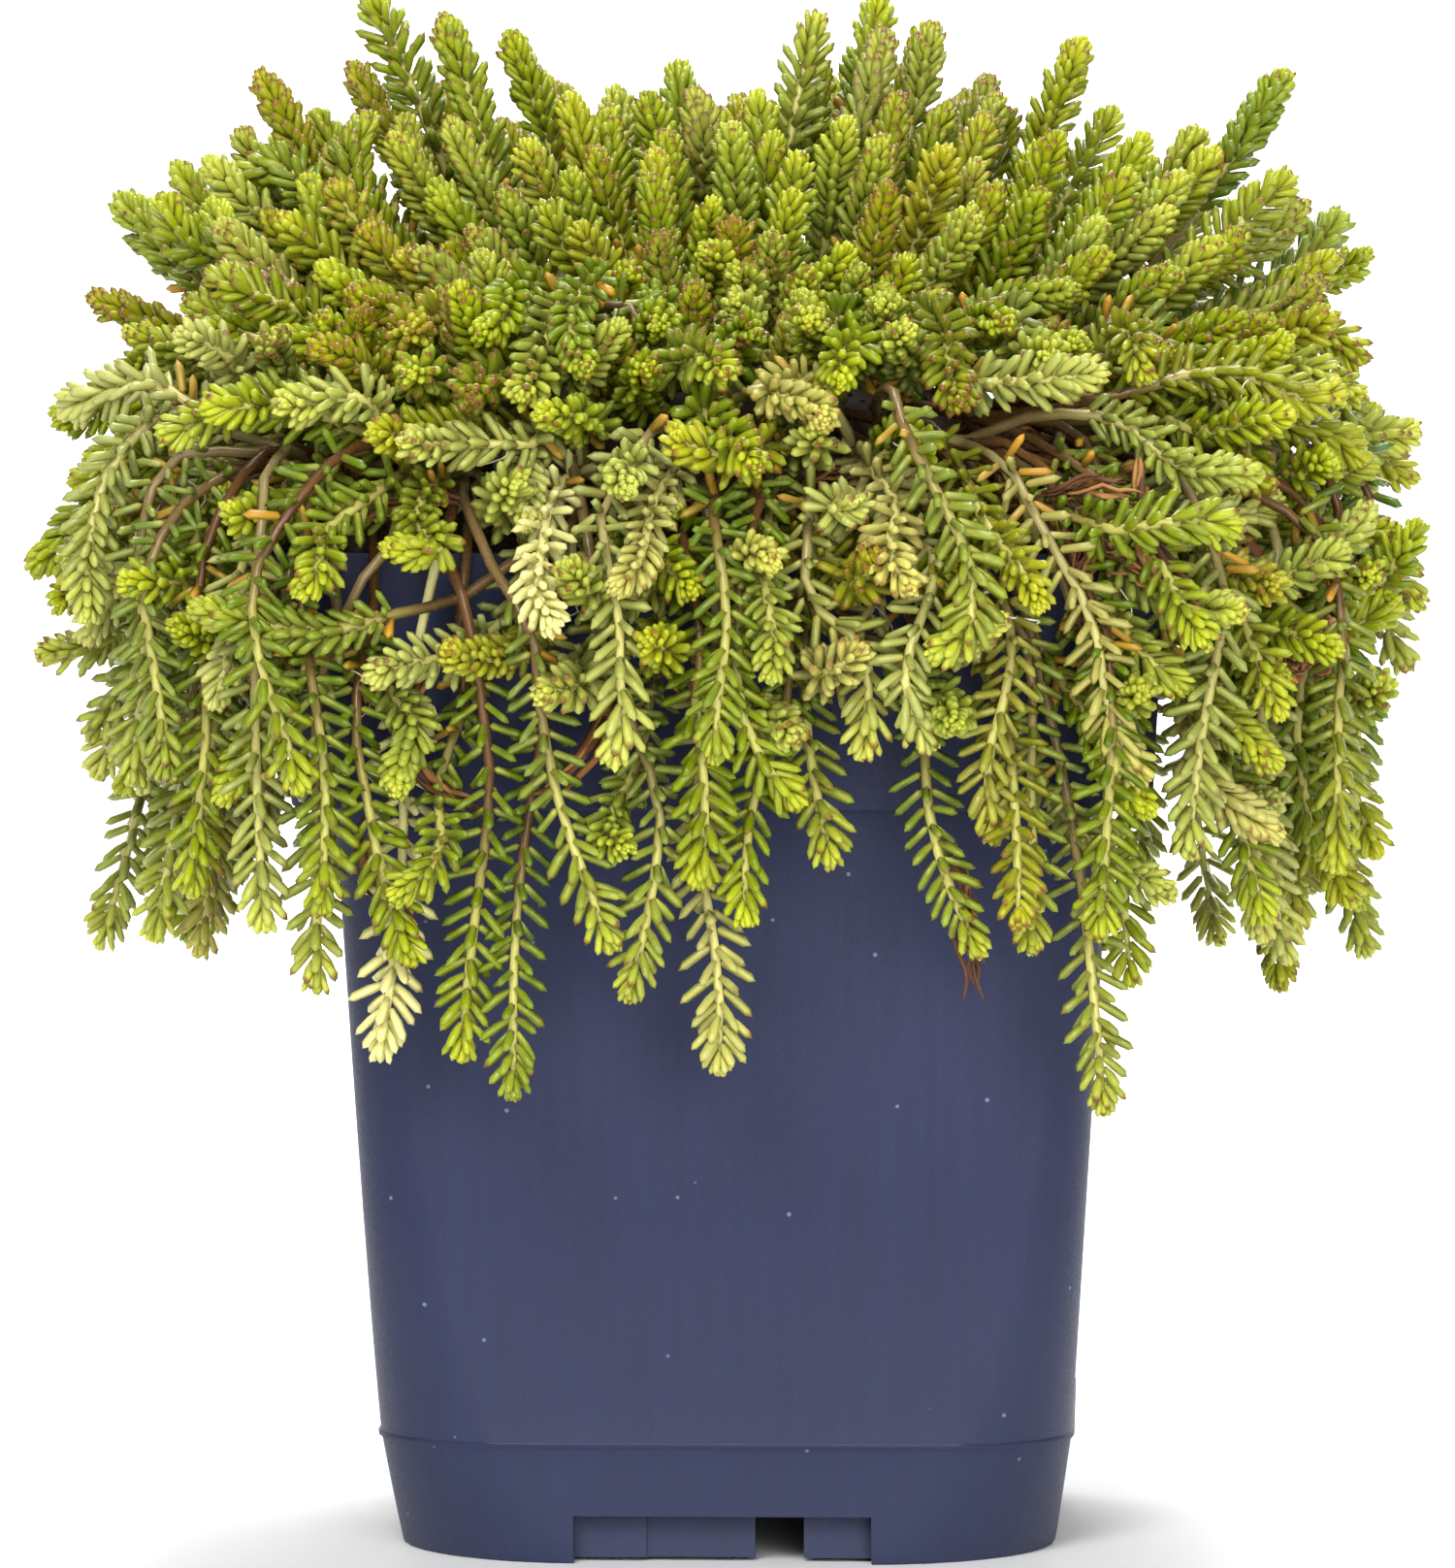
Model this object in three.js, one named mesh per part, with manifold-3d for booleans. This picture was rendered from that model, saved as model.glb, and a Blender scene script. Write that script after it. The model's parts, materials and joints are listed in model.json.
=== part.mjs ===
// A potted tasteless stonecrop, Sedum sexangulare, in a square nursery pot.
// Millimetres, +Z up, origin on the ground under the middle of the plant. The front is -Y.

import * as THREE from "three";
import { mergeVertices } from "three/addons/utils/BufferGeometryUtils.js";
import Module from "manifold-3d";

const wasm = await Module();
wasm.setup();

// Pot sizes
const POT_HEIGHT = 127;
const WALL = 1.3;
const RIM_HALF = 55;
const COLLAR_BOTTOM_HALF = 53.4;
const COLLAR_BOTTOM_Z = 95;
const COLLAR_CORNER = 9;
const BODY_TOP_HALF = 48.3;
const SEAM_HALF = 43.5;
const SEAM_Z = 15;
const SEAM_PROUD = 0.35;
const SEAM_BAND = 0.7;
const FOOT_HALF = 41.4;
const CORNER_TOP = 7;
const CORNER_GROWTH = 17;
const CORNER_FADE = 22;
const CORNER_STEPS = 3;
const FLOOR_UNDERSIDE_Z = 6.4;
const FLOOR_TOP_Z = 7.8;

// Foot notches, one in each side, and the panels set back behind them
const NOTCH_HALF = 18.6;
const NOTCH_HEIGHT = 6.1;
const PANEL_SET_BACK = 2.75;
const PANEL_EXTRA_DEPTH = 0.6;
const PANEL_BOTTOM_Z = 0.5;
const DRAIN_GAP = [4, 10.1];
const PANEL_STEP_X = -9.6;
const DRAIN_HOLE_RADIUS = 4;
const DRAIN_HOLE_SIDES = 8;
const DRAIN_HOLE_PLACE = 19;

// Soil and what lies on it
const GAP = 0.35;
const MOUND_TOP = 147;
const MOUND_EDGE = 122;
const MOUND_LUMP = 0.7;
const HOLE_RADIUS = 2.6;
const HOLE_SIDES = 4;
const PEG_DEPTH = 7;
const ROOT_MAT_CENTRE = [39, -41];
const ROOT_MAT_HALF = [15, 9.5];
const ROOT_MAT_LIFT = 0.9;
const ROOT_MAT_TURN = -0.35;
const ROOT_MAT_THICK = 1.1;
const ROOT_MAT_RIDGE = 1.3;

// Leafy shoots
const SIDES = 6;
const SAMPLES = 14;
const RELAX_ROUNDS = 60;
const STEM_RADIUS = 1.5;
const BRANCH_RADIUS = 1.15;
const ROOT_SPACING = 6.2;
const ROOT_LIMIT = 45;
const FULL_AT = 0.35;
const LOW_SPREAD = 0.3;

// The dense middle of a bunch, which its shoots stand out of
const CORE_SIDES = 6;
const CORE_FROM = 0.02;
const CORE_END = 0.6;
const CORE_STEPS = 3;
const CORE_LEAF = 2.2;
const CORE_START_RADIUS = 4;
const SHOOT_STARTS = [0.25, 0.1, 0.03];
const BARE_STEP = 0.08;
const LEAF_CLEARANCE = 0.25;
const FINEST_DETAIL = 0.02;
const SOIL_CLEARANCE = 0.9;

const HABITS = {
  upright: { valley: 2.5, reach: 4, spacing: 5.9, forward: 3, bare: 0.46, apex: 1.6, core: 10 },
  hanging: { valley: 2.4, reach: 4.2, spacing: 7, forward: 3, bare: 0.42, apex: 1.6, core: 8 },
  seedHead: { valley: 1.2, reach: 2.6, spacing: 2.6, forward: 1, bare: 0.9, apex: 0.8, core: 1.5 },
  dryClump: { valley: 2.8, reach: 4.6, spacing: 2.6, forward: 1, bare: 0.8, apex: 1.4, core: 1.5 },
};

// Upright bunches: the tips of the shoots that rise from one hole in the soil.
const UPRIGHT_TIPS = [
  [[-47, 15, 195], [-40, 25, 183]],
  [[-37, 4, 192], [-43, -5, 177]],
  [[-29, 12, 190], [-23, 25, 183]],
  [[-21, 4, 182], [-26, -8, 176]],
  [[-11, 4, 182], [-8, 25, 186]],
  [[0, -8, 178], [5, 2, 177]],
  [[10, 15, 192], [0, 21, 181]],
  [[18, 31, 195], [8, 33, 184]],
  [[19, 11, 190], [14, -3, 179]],
  [[25, 22, 191], [32, 31, 184]],
  [[32, 9, 179], [27, -9, 175]],
  [[44, 15, 189], [48, 26, 180]],
  [[41, -4, 177], [52, 4, 177]],
  [[70, 15, 185], [61, 15, 176]],
  [[70, -5, 172], [61, -18, 164]],
  [[50, -12, 172], [39, -17, 170]],
  [[31, -27, 167], [20, -20, 171]],
  [[8, -20, 170], [6, -32, 165]],
  [[17, -40, 161], [27, -42, 158]],
  [[47, -32, 163], [42, -42, 154]],
  [[64, -33, 155], [55, -43, 151]],
  [[76, -3, 162], [75, -22, 155]],
  [[86, -1, 140], [83, -16, 128]],
  [[-61, 10, 185], [-67, 2, 174]],
  [[-73, 8, 168], [-81, -6, 157]],
  [[-64, -15, 166], [-75, -22, 153]],
  [[-50, -14, 171], [-52, 4, 175]],
  [[-37, -14, 171], [-28, -19, 170]],
  [[-18, -30, 166], [-10, -20, 172], [-8, -43, 158]],
  [[-38, -32, 163], [-27, -40, 161], [-17, -47, 151]],
  [[-50, -31, 161], [-40, -46, 154]],
  [[-63, -41, 144], [-75, -36, 136]],
];

// Bunches on the far side, placed round the dome by rule.
const FAR_BUNCHES = 7;
const FAR_FROM = 0.13;
const FAR_TO = 0.87;
const FAR_TIPS = [
  { out: 87, turn: 0, drop: 2 },
  { out: 60, turn: 0.17, drop: 0 },
  { out: 76, turn: -0.2, drop: 8 },
];
const DOME_TOP = 192;
const DOME_FALL = 35;
const DOME_REACH = 82;

// Hanging stems: over the rim and down, by their tips.
const HANGING_TIPS = [
  [[-40, -64, 66], [-50, -77, 120]],
  [[-24, -68, 59], [-24, -84, 117]],
  [[0, -69, 65], [-8, -85, 122]],
  [[12, -68, 88], [8, -86, 112]],
  [[28, -68, 76], [24, -86, 122]],
  [[40, -78, 82], [40, -84, 119]],
  [[47, -68, 59], [60, -74, 117]],
  [[64, -52, 80], [68, -62, 106]],
  [[80, -32, 86], [85, -10, 110]],
  [[-64, -46, 84], [-78, -38, 114], [-62, -63, 108]],
  [[-66, -16, 74], [-88, -8, 121]],
];
const HANGING_RISE = 13;
const FAR_HANGING = 5;
const FAR_HANGING_LOW = 72;
const FAR_HANGING_HIGH = 122;
const FAR_HANGING_STEP = 6;
const FAR_HANGING_FROM = 0.04;
const FAR_HANGING_TO = 0.97;
const FAR_SKIRT = [
  { out: 80, turn: 0, rise: 0 },
  { out: 79, turn: 0.17, rise: 17 },
  { out: 79, turn: -0.17, rise: 8 },
  { out: 87, turn: 0.31, rise: 38 },
  { out: 87, turn: -0.09, rise: 46 },
];

const SEED_HEAD_TIP = [-58, -26, 160];
const DRY_CLUMP_TIP = [74, -38, 112];

const COLOURS = {
  pot: { color: 0x232c4a, roughness: 0.55 },
  soil: { color: 0x2a1c14, roughness: 0.95 },
  rootMat: { color: 0x4a2c1c, roughness: 0.9 },
  upright: { color: 0x7c9a1e, roughness: 0.45 },
  hanging: { color: 0x8fae35, roughness: 0.45 },
  seedHead: { color: 0xa88f68, roughness: 0.85 },
  dryClump: { color: 0x8f5f3e, roughness: 0.85 },
};

// A seeded generator, so that each build places every leaf alike.
function seeded(seed) {
  let state = seed >>> 0;
  return () => {
    state = (Math.imul(state, 1664525) + 1013904223) >>> 0;
    return state / 4294967296;
  };
}

// Vectors as plain arrays
const add = (a, b) => a.map((v, i) => v + b[i]);
const sub = (a, b) => a.map((v, i) => v - b[i]);
const scale = (a, s) => a.map((v) => v * s);
const dot = (a, b) => a.reduce((sum, v, i) => sum + v * b[i], 0);
const length = (a) => Math.hypot(...a);
const unit = (a) => scale(a, 1 / Math.max(length(a), 1e-9));
const mix = (a, b, t) => a.map((v, i) => v + (b[i] - v) * t);
const clamp = (v, low, high) => Math.min(Math.max(v, low), high);
const cross = (a, b) => [
  a[1] * b[2] - a[2] * b[1],
  a[2] * b[0] - a[0] * b[2],
  a[0] * b[1] - a[1] * b[0],
];

// Solids
function solidFromArrays(positions, triangles) {
  const solid = new wasm.Manifold(
    new wasm.Mesh({
      numProp: 3,
      vertProperties: new Float32Array(positions),
      triVerts: new Uint32Array(triangles),
    }),
  );
  return solid;
}

function solidFromGeometry(source, matrix) {
  const geometry = source.clone();
  geometry.deleteAttribute("normal");
  geometry.deleteAttribute("uv");
  geometry.applyMatrix4(matrix);
  const merged = mergeVertices(geometry, 1e-4);
  return solidFromArrays(merged.attributes.position.array, merged.index.array);
}

function boxBetween(low, high) {
  const size = sub(high, low);
  const centre = mix(low, high, 0.5);
  const place = new THREE.Matrix4().makeTranslation(...centre);
  return solidFromGeometry(new THREE.BoxGeometry(...size), place);
}

function uprightPrism(x, y, low, high, radius, sides) {
  const place = new THREE.Matrix4().makeTranslation(x, y, (low + high) / 2);
  place.multiply(new THREE.Matrix4().makeRotationX(Math.PI / 2));
  return solidFromGeometry(new THREE.CylinderGeometry(radius, radius, high - low, sides), place);
}

function geometryOf(solid) {
  const mesh = solid.getMesh();
  const stride = mesh.numProp;
  const positions = new Float32Array(mesh.numVert * 3);
  for (let i = 0; i < mesh.numVert; i++) {
    positions.set(mesh.vertProperties.subarray(i * stride, i * stride + 3), i * 3);
  }
  const geometry = new THREE.BufferGeometry();
  geometry.setAttribute("position", new THREE.BufferAttribute(positions, 3));
  geometry.setIndex(new THREE.BufferAttribute(new Uint32Array(mesh.triVerts), 1));
  return geometry;
}

// The largest body of a solid, with any sealed hollow filled and loose scraps dropped.
function largestBody(solid) {
  const bodies = solid.decompose();
  return bodies.reduce((best, body) => (body.volume() > best.volume() ? body : best));
}

// A closed skin through rings of points, each ring with the same count, closed by a pole at each end.
function loft(firstPole, rings, lastPole) {
  const count = rings[0].length;
  const positions = [...firstPole, ...rings.flat(2), ...lastPole];
  const triangles = [];
  const at = (ring, k) => 1 + ring * count + (k % count);
  const lastIndex = 1 + rings.length * count;
  for (let k = 0; k < count; k++) {
    triangles.push(0, at(0, k + 1), at(0, k));
    triangles.push(lastIndex, at(rings.length - 1, k), at(rings.length - 1, k + 1));
  }
  for (let ring = 0; ring + 1 < rings.length; ring++) {
    for (let k = 0; k < count; k++) {
      triangles.push(at(ring, k), at(ring, k + 1), at(ring + 1, k + 1));
      triangles.push(at(ring, k), at(ring + 1, k + 1), at(ring + 1, k));
    }
  }
  return { positions, triangles };
}

function loftSolid(firstPole, rings, lastPole) {
  const { positions, triangles } = loft(firstPole, rings, lastPole);
  const solid = solidFromArrays(positions, triangles);
  if (solid.volume() > 0) return solid;
  const turned = [];
  for (let i = 0; i < triangles.length; i += 3) {
    turned.push(triangles[i], triangles[i + 2], triangles[i + 1]);
  }
  return solidFromArrays(positions, turned);
}

// Pot section: half width and corner radius at a height
function bodyHalf(z) {
  if (z < SEAM_Z) return mixNumber(FOOT_HALF, SEAM_HALF, z / SEAM_Z);
  return mixNumber(SEAM_HALF, BODY_TOP_HALF, (z - SEAM_Z) / (COLLAR_BOTTOM_Z - SEAM_Z));
}

function collarHalf(z) {
  const along = (z - COLLAR_BOTTOM_Z) / (POT_HEIGHT - COLLAR_BOTTOM_Z);
  return mixNumber(COLLAR_BOTTOM_HALF, RIM_HALF, along);
}

function mixNumber(a, b, t) {
  return a + (b - a) * t;
}

function bodyCorner(z) {
  return CORNER_TOP + CORNER_GROWTH * Math.exp(-z / CORNER_FADE);
}

// A rounded square, counter-clockwise, as one ring at height z
function squareRing(half, corner, z) {
  const ring = [];
  const middle = half - corner;
  for (let quarter = 0; quarter < 4; quarter++) {
    const start = (quarter * Math.PI) / 2;
    const centre = [
      middle * Math.sign(Math.cos(start + Math.PI / 4)),
      middle * Math.sign(Math.sin(start + Math.PI / 4)),
    ];
    for (let step = 0; step <= CORNER_STEPS; step++) {
      const angle = start + (step / CORNER_STEPS) * (Math.PI / 2);
      ring.push([centre[0] + corner * Math.cos(angle), centre[1] + corner * Math.sin(angle), z]);
    }
  }
  return ring;
}

function bodyRing(z, inset) {
  return squareRing(bodyHalf(z) - inset, bodyCorner(z) - inset, z);
}

function collarRing(z, inset) {
  return squareRing(collarHalf(z) - inset, COLLAR_CORNER - inset, z);
}

function turnedQuarter(solid, quarter) {
  return solid.rotate([0, 0, quarter * 90]);
}

function potSolid() {
  const ledgeZ = COLLAR_BOTTOM_Z + WALL;
  const bodyHeights = [32];
  const inside = [
    bodyRing(FLOOR_TOP_Z, WALL),
    bodyRing(SEAM_Z, WALL),
    ...bodyHeights.map((z) => bodyRing(z, WALL)),
    squareRing(bodyHalf(COLLAR_BOTTOM_Z) - WALL, bodyCorner(COLLAR_BOTTOM_Z) - WALL, ledgeZ),
    collarRing(ledgeZ, WALL),
    collarRing(POT_HEIGHT, WALL),
  ];
  const outside = [
    collarRing(POT_HEIGHT, 0),
    collarRing(COLLAR_BOTTOM_Z, 0),
    bodyRing(COLLAR_BOTTOM_Z, 0),
    ...bodyHeights.toReversed().map((z) => bodyRing(z, 0)),
    bodyRing(SEAM_Z + SEAM_BAND, 0),
    bodyRing(SEAM_Z, -SEAM_PROUD),
    bodyRing(SEAM_Z - SEAM_BAND, 0),
    bodyRing(0, 0),
    bodyRing(0, WALL),
    bodyRing(FLOOR_UNDERSIDE_Z, WALL),
  ];
  const shell = loftSolid([0, 0, FLOOR_TOP_Z], [...inside, ...outside], [0, 0, FLOOR_UNDERSIDE_Z]);
  let pot = shell;
  const front = -FOOT_HALF;
  const panelFront = front + PANEL_SET_BACK;
  const inFloor = FLOOR_UNDERSIDE_Z + 0.5;
  for (let quarter = 0; quarter < 4; quarter++) {
    const notch = boxBetween(
      [-NOTCH_HALF, front - 5, -1],
      [NOTCH_HALF, front + WALL + 1.2, NOTCH_HEIGHT],
    );
    pot = pot.subtract(turnedQuarter(notch, quarter));
  }
  for (let quarter = 0; quarter < 4; quarter++) {
    const panels = [
      [-NOTCH_HALF - WALL, PANEL_STEP_X, panelFront],
      [PANEL_STEP_X - WALL, DRAIN_GAP[0], panelFront + PANEL_EXTRA_DEPTH],
      [DRAIN_GAP[1], NOTCH_HALF + WALL, panelFront],
    ];
    for (const [from, to, face] of panels) {
      const panel = boxBetween([from, face, PANEL_BOTTOM_Z], [to, face + WALL, inFloor]);
      pot = pot.add(turnedQuarter(panel, quarter));
    }
    for (const side of [-1, 1]) {
      const edge = side * (NOTCH_HALF + WALL / 2);
      const wing = boxBetween(
        [edge - WALL / 2, front + 0.9, PANEL_BOTTOM_Z],
        [edge + WALL / 2, panelFront + WALL, inFloor],
      );
      pot = pot.add(turnedQuarter(wing, quarter));
    }
    const angle = ((quarter + 0.5) * Math.PI) / 2;
    const place = DRAIN_HOLE_PLACE * Math.SQRT2;
    const hole = uprightPrism(
      place * Math.cos(angle),
      place * Math.sin(angle),
      FLOOR_UNDERSIDE_Z - 1,
      FLOOR_TOP_Z + 1,
      DRAIN_HOLE_RADIUS,
      DRAIN_HOLE_SIDES,
    );
    pot = pot.subtract(hole);
  }
  return largestBody(pot);
}

function moundHalf() {
  return collarHalf(MOUND_EDGE) - WALL - GAP;
}

// Where a point lies between the middle of the mound, 0, and the collar's inside, 1
function moundShare(x, y) {
  const half = moundHalf();
  const corner = COLLAR_CORNER - WALL - GAP;
  const middle = half - corner;
  const [ax, ay] = [Math.abs(x), Math.abs(y)];
  const flat = Math.max(ax, ay) / half;
  if (Math.min(ax, ay) <= middle * flat) return Math.min(flat, 1);
  const square = ax * ax + ay * ay;
  const sum = middle * (ax + ay);
  const inverse = (sum + Math.sqrt(sum * sum - square * (2 * middle * middle - corner * corner))) / square;
  return Math.min(1 / inverse, 1);
}

// Height of the mound of soil
function moundHeight(x, y) {
  const share = moundShare(x, y);
  const rise = (MOUND_TOP - MOUND_EDGE) * (1 - share ** 3);
  const lump = Math.sin(x / 5.1 + 1) * Math.sin(y / 4.3) + Math.sin((x + y) / 7.7);
  return MOUND_EDGE + rise + MOUND_LUMP * lump * (1 - share);
}

// How far a point is from the pot's outside, negative within it
function potDistance(x, y, z) {
  const half = z > COLLAR_BOTTOM_Z - 3 ? collarHalf(Math.min(z, POT_HEIGHT)) : bodyHalf(Math.max(z, 0));
  const qx = Math.abs(x) - (half - COLLAR_CORNER);
  const qy = Math.abs(y) - (half - COLLAR_CORNER);
  const across =
    Math.hypot(Math.max(qx, 0), Math.max(qy, 0)) + Math.min(Math.max(qx, qy), 0) - COLLAR_CORNER;
  const above = z - POT_HEIGHT;
  return Math.hypot(Math.max(across, 0), Math.max(above, 0)) + Math.min(Math.max(across, above), 0);
}

// The root mat's own plan coordinates, -1 to 1 inside it
function matPlan(x, y) {
  const dx = x - ROOT_MAT_CENTRE[0];
  const dy = y - ROOT_MAT_CENTRE[1];
  const u = (dx * Math.cos(ROOT_MAT_TURN) - dy * Math.sin(ROOT_MAT_TURN)) / ROOT_MAT_HALF[0];
  const v = (dx * Math.sin(ROOT_MAT_TURN) + dy * Math.cos(ROOT_MAT_TURN)) / ROOT_MAT_HALF[1];
  return [u, v];
}

// What the mat rests on: the mound, then a ramp up to the rim and over it
function bedHeight(x, y) {
  const inner = RIM_HALF - WALL;
  const inside = inner - Math.max(Math.abs(x), Math.abs(y));
  const ramp = POT_HEIGHT - 0.9 * Math.max(inside - 1, 0);
  return Math.max(moundHeight(x, y), ramp);
}

function matTop(x, y) {
  const [u, v] = matPlan(x, y);
  const fade = Math.sqrt(Math.max(1 - u ** 4 - v ** 4, 0));
  const strands = Math.abs(Math.sin(v * 6.1 + Math.sin(u * 2.7 + 0.6) * 1.6));
  return bedHeight(x, y) + ROOT_MAT_LIFT + ROOT_MAT_THICK + ROOT_MAT_RIDGE * strands * fade;
}

// The lowest height that a shoot may have over the mound and the mat
function groundHeight(x, y) {
  const [u, v] = matPlan(x, y);
  if (Math.abs(u) < 1.08 && Math.abs(v) < 1.12) return matTop(x, y);
  return moundHeight(x, y);
}

function soilSolid(roots) {
  const inset = WALL + GAP;
  const ledgeZ = COLLAR_BOTTOM_Z + WALL + GAP;
  const wallRings = [
    bodyRing(FLOOR_TOP_Z + GAP, inset),
    bodyRing(SEAM_Z, inset),
    bodyRing(32, inset),
    squareRing(bodyHalf(COLLAR_BOTTOM_Z) - inset, bodyCorner(COLLAR_BOTTOM_Z) - inset, ledgeZ),
    collarRing(ledgeZ, inset),
  ];
  const edge = squareRing(moundHalf(), COLLAR_CORNER - inset, MOUND_EDGE);
  const moundRings = [1, 0.8, 0.45].map((share) =>
    edge.map(([x, y]) => [x * share, y * share, moundHeight(x * share, y * share)]),
  );
  const top = [0, 0, moundHeight(0, 0)];
  let soil = loftSolid([0, 0, FLOOR_TOP_Z + GAP], [...wallRings, ...moundRings], top);
  for (const [x, y] of roots) {
    const low = moundHeight(x, y) - PEG_DEPTH - GAP;
    soil = soil.subtract(uprightPrism(x, y, low, MOUND_TOP + 9, HOLE_RADIUS, HOLE_SIDES));
  }
  return largestBody(soil);
}

// The root mat: a sheet with strands raised along it
function rootMatSolid() {
  const across = 7;
  const along = 11;
  const positions = [];
  const triangles = [];
  const index = (layer, i, j) => layer * across * along + i * across + j;
  for (let layer = 0; layer < 2; layer++) {
    for (let i = 0; i < along; i++) {
      for (let j = 0; j < across; j++) {
        const s = (i / (along - 1)) * 2 - 1;
        const t = (j / (across - 1)) * 2 - 1;
        const u = s * Math.sqrt(1 - (t * t) / 2.4) * ROOT_MAT_HALF[0];
        const v = t * Math.sqrt(1 - (s * s) / 2.4) * ROOT_MAT_HALF[1];
        const x = ROOT_MAT_CENTRE[0] + u * Math.cos(ROOT_MAT_TURN) + v * Math.sin(ROOT_MAT_TURN);
        const y = ROOT_MAT_CENTRE[1] - u * Math.sin(ROOT_MAT_TURN) + v * Math.cos(ROOT_MAT_TURN);
        positions.push(x, y, layer ? matTop(x, y) : bedHeight(x, y) + ROOT_MAT_LIFT);
      }
    }
  }
  for (let i = 0; i + 1 < along; i++) {
    for (let j = 0; j + 1 < across; j++) {
      triangles.push(index(1, i, j), index(1, i + 1, j), index(1, i + 1, j + 1));
      triangles.push(index(1, i, j), index(1, i + 1, j + 1), index(1, i, j + 1));
      triangles.push(index(0, i, j), index(0, i + 1, j + 1), index(0, i + 1, j));
      triangles.push(index(0, i, j), index(0, i, j + 1), index(0, i + 1, j + 1));
    }
  }
  const border = [];
  for (let i = 0; i + 1 < along; i++) border.push([i, 0]);
  for (let j = 0; j + 1 < across; j++) border.push([along - 1, j]);
  for (let i = along - 1; i > 0; i--) border.push([i, across - 1]);
  for (let j = across - 1; j > 0; j--) border.push([0, j]);
  border.forEach(([i, j], k) => {
    const [ni, nj] = border[(k + 1) % border.length];
    triangles.push(index(0, i, j), index(0, ni, nj), index(1, ni, nj));
    triangles.push(index(0, i, j), index(1, ni, nj), index(1, i, j));
  });
  return solidFromArrays(positions, triangles);
}

// Bunches: the rows above and those placed by rule
function domeHeight(out) {
  return DOME_TOP - DOME_FALL * (out / DOME_REACH) ** 4;
}

function farUprightBunches() {
  const bunches = [];
  for (let i = 0; i < FAR_BUNCHES; i++) {
    const share = (i + 0.5) / FAR_BUNCHES;
    const angle = mixNumber(FAR_FROM, FAR_TO, share) * Math.PI;
    const tips = FAR_TIPS.map(({ out, turn, drop }, k) => {
      const sweep = angle + turn;
      const reach = out - 4 * ((i + k) % 2);
      const z = domeHeight(reach) - drop - 5 * ((i + 2 * k) % 3);
      return [reach * Math.cos(sweep), reach * Math.sin(sweep), z];
    });
    bunches.push(tips);
  }
  return bunches;
}

function farHangingBunches() {
  const bunches = [];
  for (let i = 0; i < FAR_HANGING; i++) {
    const share = i / (FAR_HANGING - 1);
    const angle = mixNumber(FAR_HANGING_FROM, FAR_HANGING_TO, share) * Math.PI;
    const tips = FAR_SKIRT.map(({ out, turn, rise }, k) => {
      const sweep = angle + turn;
      const z = FAR_HANGING_LOW + rise + FAR_HANGING_STEP * ((i + k) % 2);
      return [out * Math.cos(sweep), out * Math.sin(sweep), Math.min(z, FAR_HANGING_HIGH)];
    });
    bunches.push(tips);
  }
  return bunches;
}

// Where a bunch comes out of the soil, before the roots make room for each other
function firstRoot(tips, habit) {
  const mean = scale(tips.reduce(add), 1 / tips.length);
  const far = Math.hypot(mean[0], mean[1]);
  const wanted = habit === "hanging" ? 43 : Math.min(far * 0.66, 40);
  const square = Math.max(Math.abs(mean[0]), Math.abs(mean[1]));
  const share = habit === "hanging" ? wanted / square : wanted / far;
  return [mean[0] * share, mean[1] * share];
}

function spreadRoots(roots) {
  for (let round = 0; round < 200; round++) {
    const moves = roots.map(() => [0, 0]);
    roots.forEach((a, i) =>
      roots.forEach((b, j) => {
        if (i === j) return;
        const apart = sub(a, b);
        const distance = length(apart);
        if (distance >= ROOT_SPACING) return;
        const push = scale(unit(apart), (ROOT_SPACING - distance) * 0.35);
        moves[i] = add(moves[i], push);
      }),
    );
    roots.forEach((root, i) => {
      let moved = add(root, moves[i]);
      const [u, v] = matPlan(...moved);
      const inMat = Math.max(Math.abs(u), Math.abs(v));
      if (inMat < 1.55) moved = mix(moved, [moved[0] - 6, moved[1] + 6], 0.15);
      roots[i] = moved.map((value) => clamp(value, -ROOT_LIMIT, ROOT_LIMIT));
    });
  }
  return roots;
}

function bezier(p, t) {
  const s = 1 - t;
  const weights = [s ** 3, 3 * s * s * t, 3 * s * t * t, t ** 3];
  return p.reduce((sum, point, i) => add(sum, scale(point, weights[i])), [0, 0, 0]);
}

// The first line of a shoot, from its root to its tip, before the shoots press each other apart
function firstLine(root, tip, habit, order) {
  const ground = moundHeight(...root);
  const start = [...root, ground + 1.5 + order * 1.6];
  const flat = [tip[0] - root[0], tip[1] - root[1], 0];
  const span = length(sub(tip, start));
  let controls;
  if (habit === "hanging" || habit === "dryClump") {
    const out = unit(flat);
    const rise = POT_HEIGHT + HANGING_RISE;
    const over = add([tip[0], tip[1], Math.max(rise, tip[2] + span * 0.5)], scale(out, 5));
    controls = [start, [root[0] + out[0] * 6, root[1] + out[1] * 6, rise + 4], over, tip];
  } else {
    const lean = add(scale(flat, 0.2), [0, 0, span * 0.42]);
    const upTip = unit(add(unit(flat).map((v) => v * 0.45), [0, 0, 1]));
    controls = [start, add(start, lean), sub(tip, scale(upTip, span * 0.36)), tip];
  }
  const line = [];
  for (let i = 0; i < SAMPLES; i++) line.push(bezier(controls, i / (SAMPLES - 1)));
  return line;
}

function makeShoots(bunches) {
  const roots = spreadRoots(bunches.map(({ tips, habit }) => firstRoot(tips, habit)));
  const shoots = [];
  bunches.forEach((bunch, owner) => {
    bunch.root = roots[owner];
    bunch.tips.forEach((tip, order) => {
      const line = firstLine(bunch.root, tip, bunch.habit, order);
      const habit = HABITS[bunch.habit];
      shoots.push({ owner, habit, line, start: SHOOT_STARTS[0], squeeze: new Map() });
    });
  });
  return shoots;
}

// The room that a shoot wants at a sample: its stem low down, then its leaves
function reachAt(shoot, sample) {
  const along = sample / (SAMPLES - 1);
  return mixNumber(STEM_RADIUS, shoot.habit.reach, clamp(along / FULL_AT, 0, 1));
}

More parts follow.
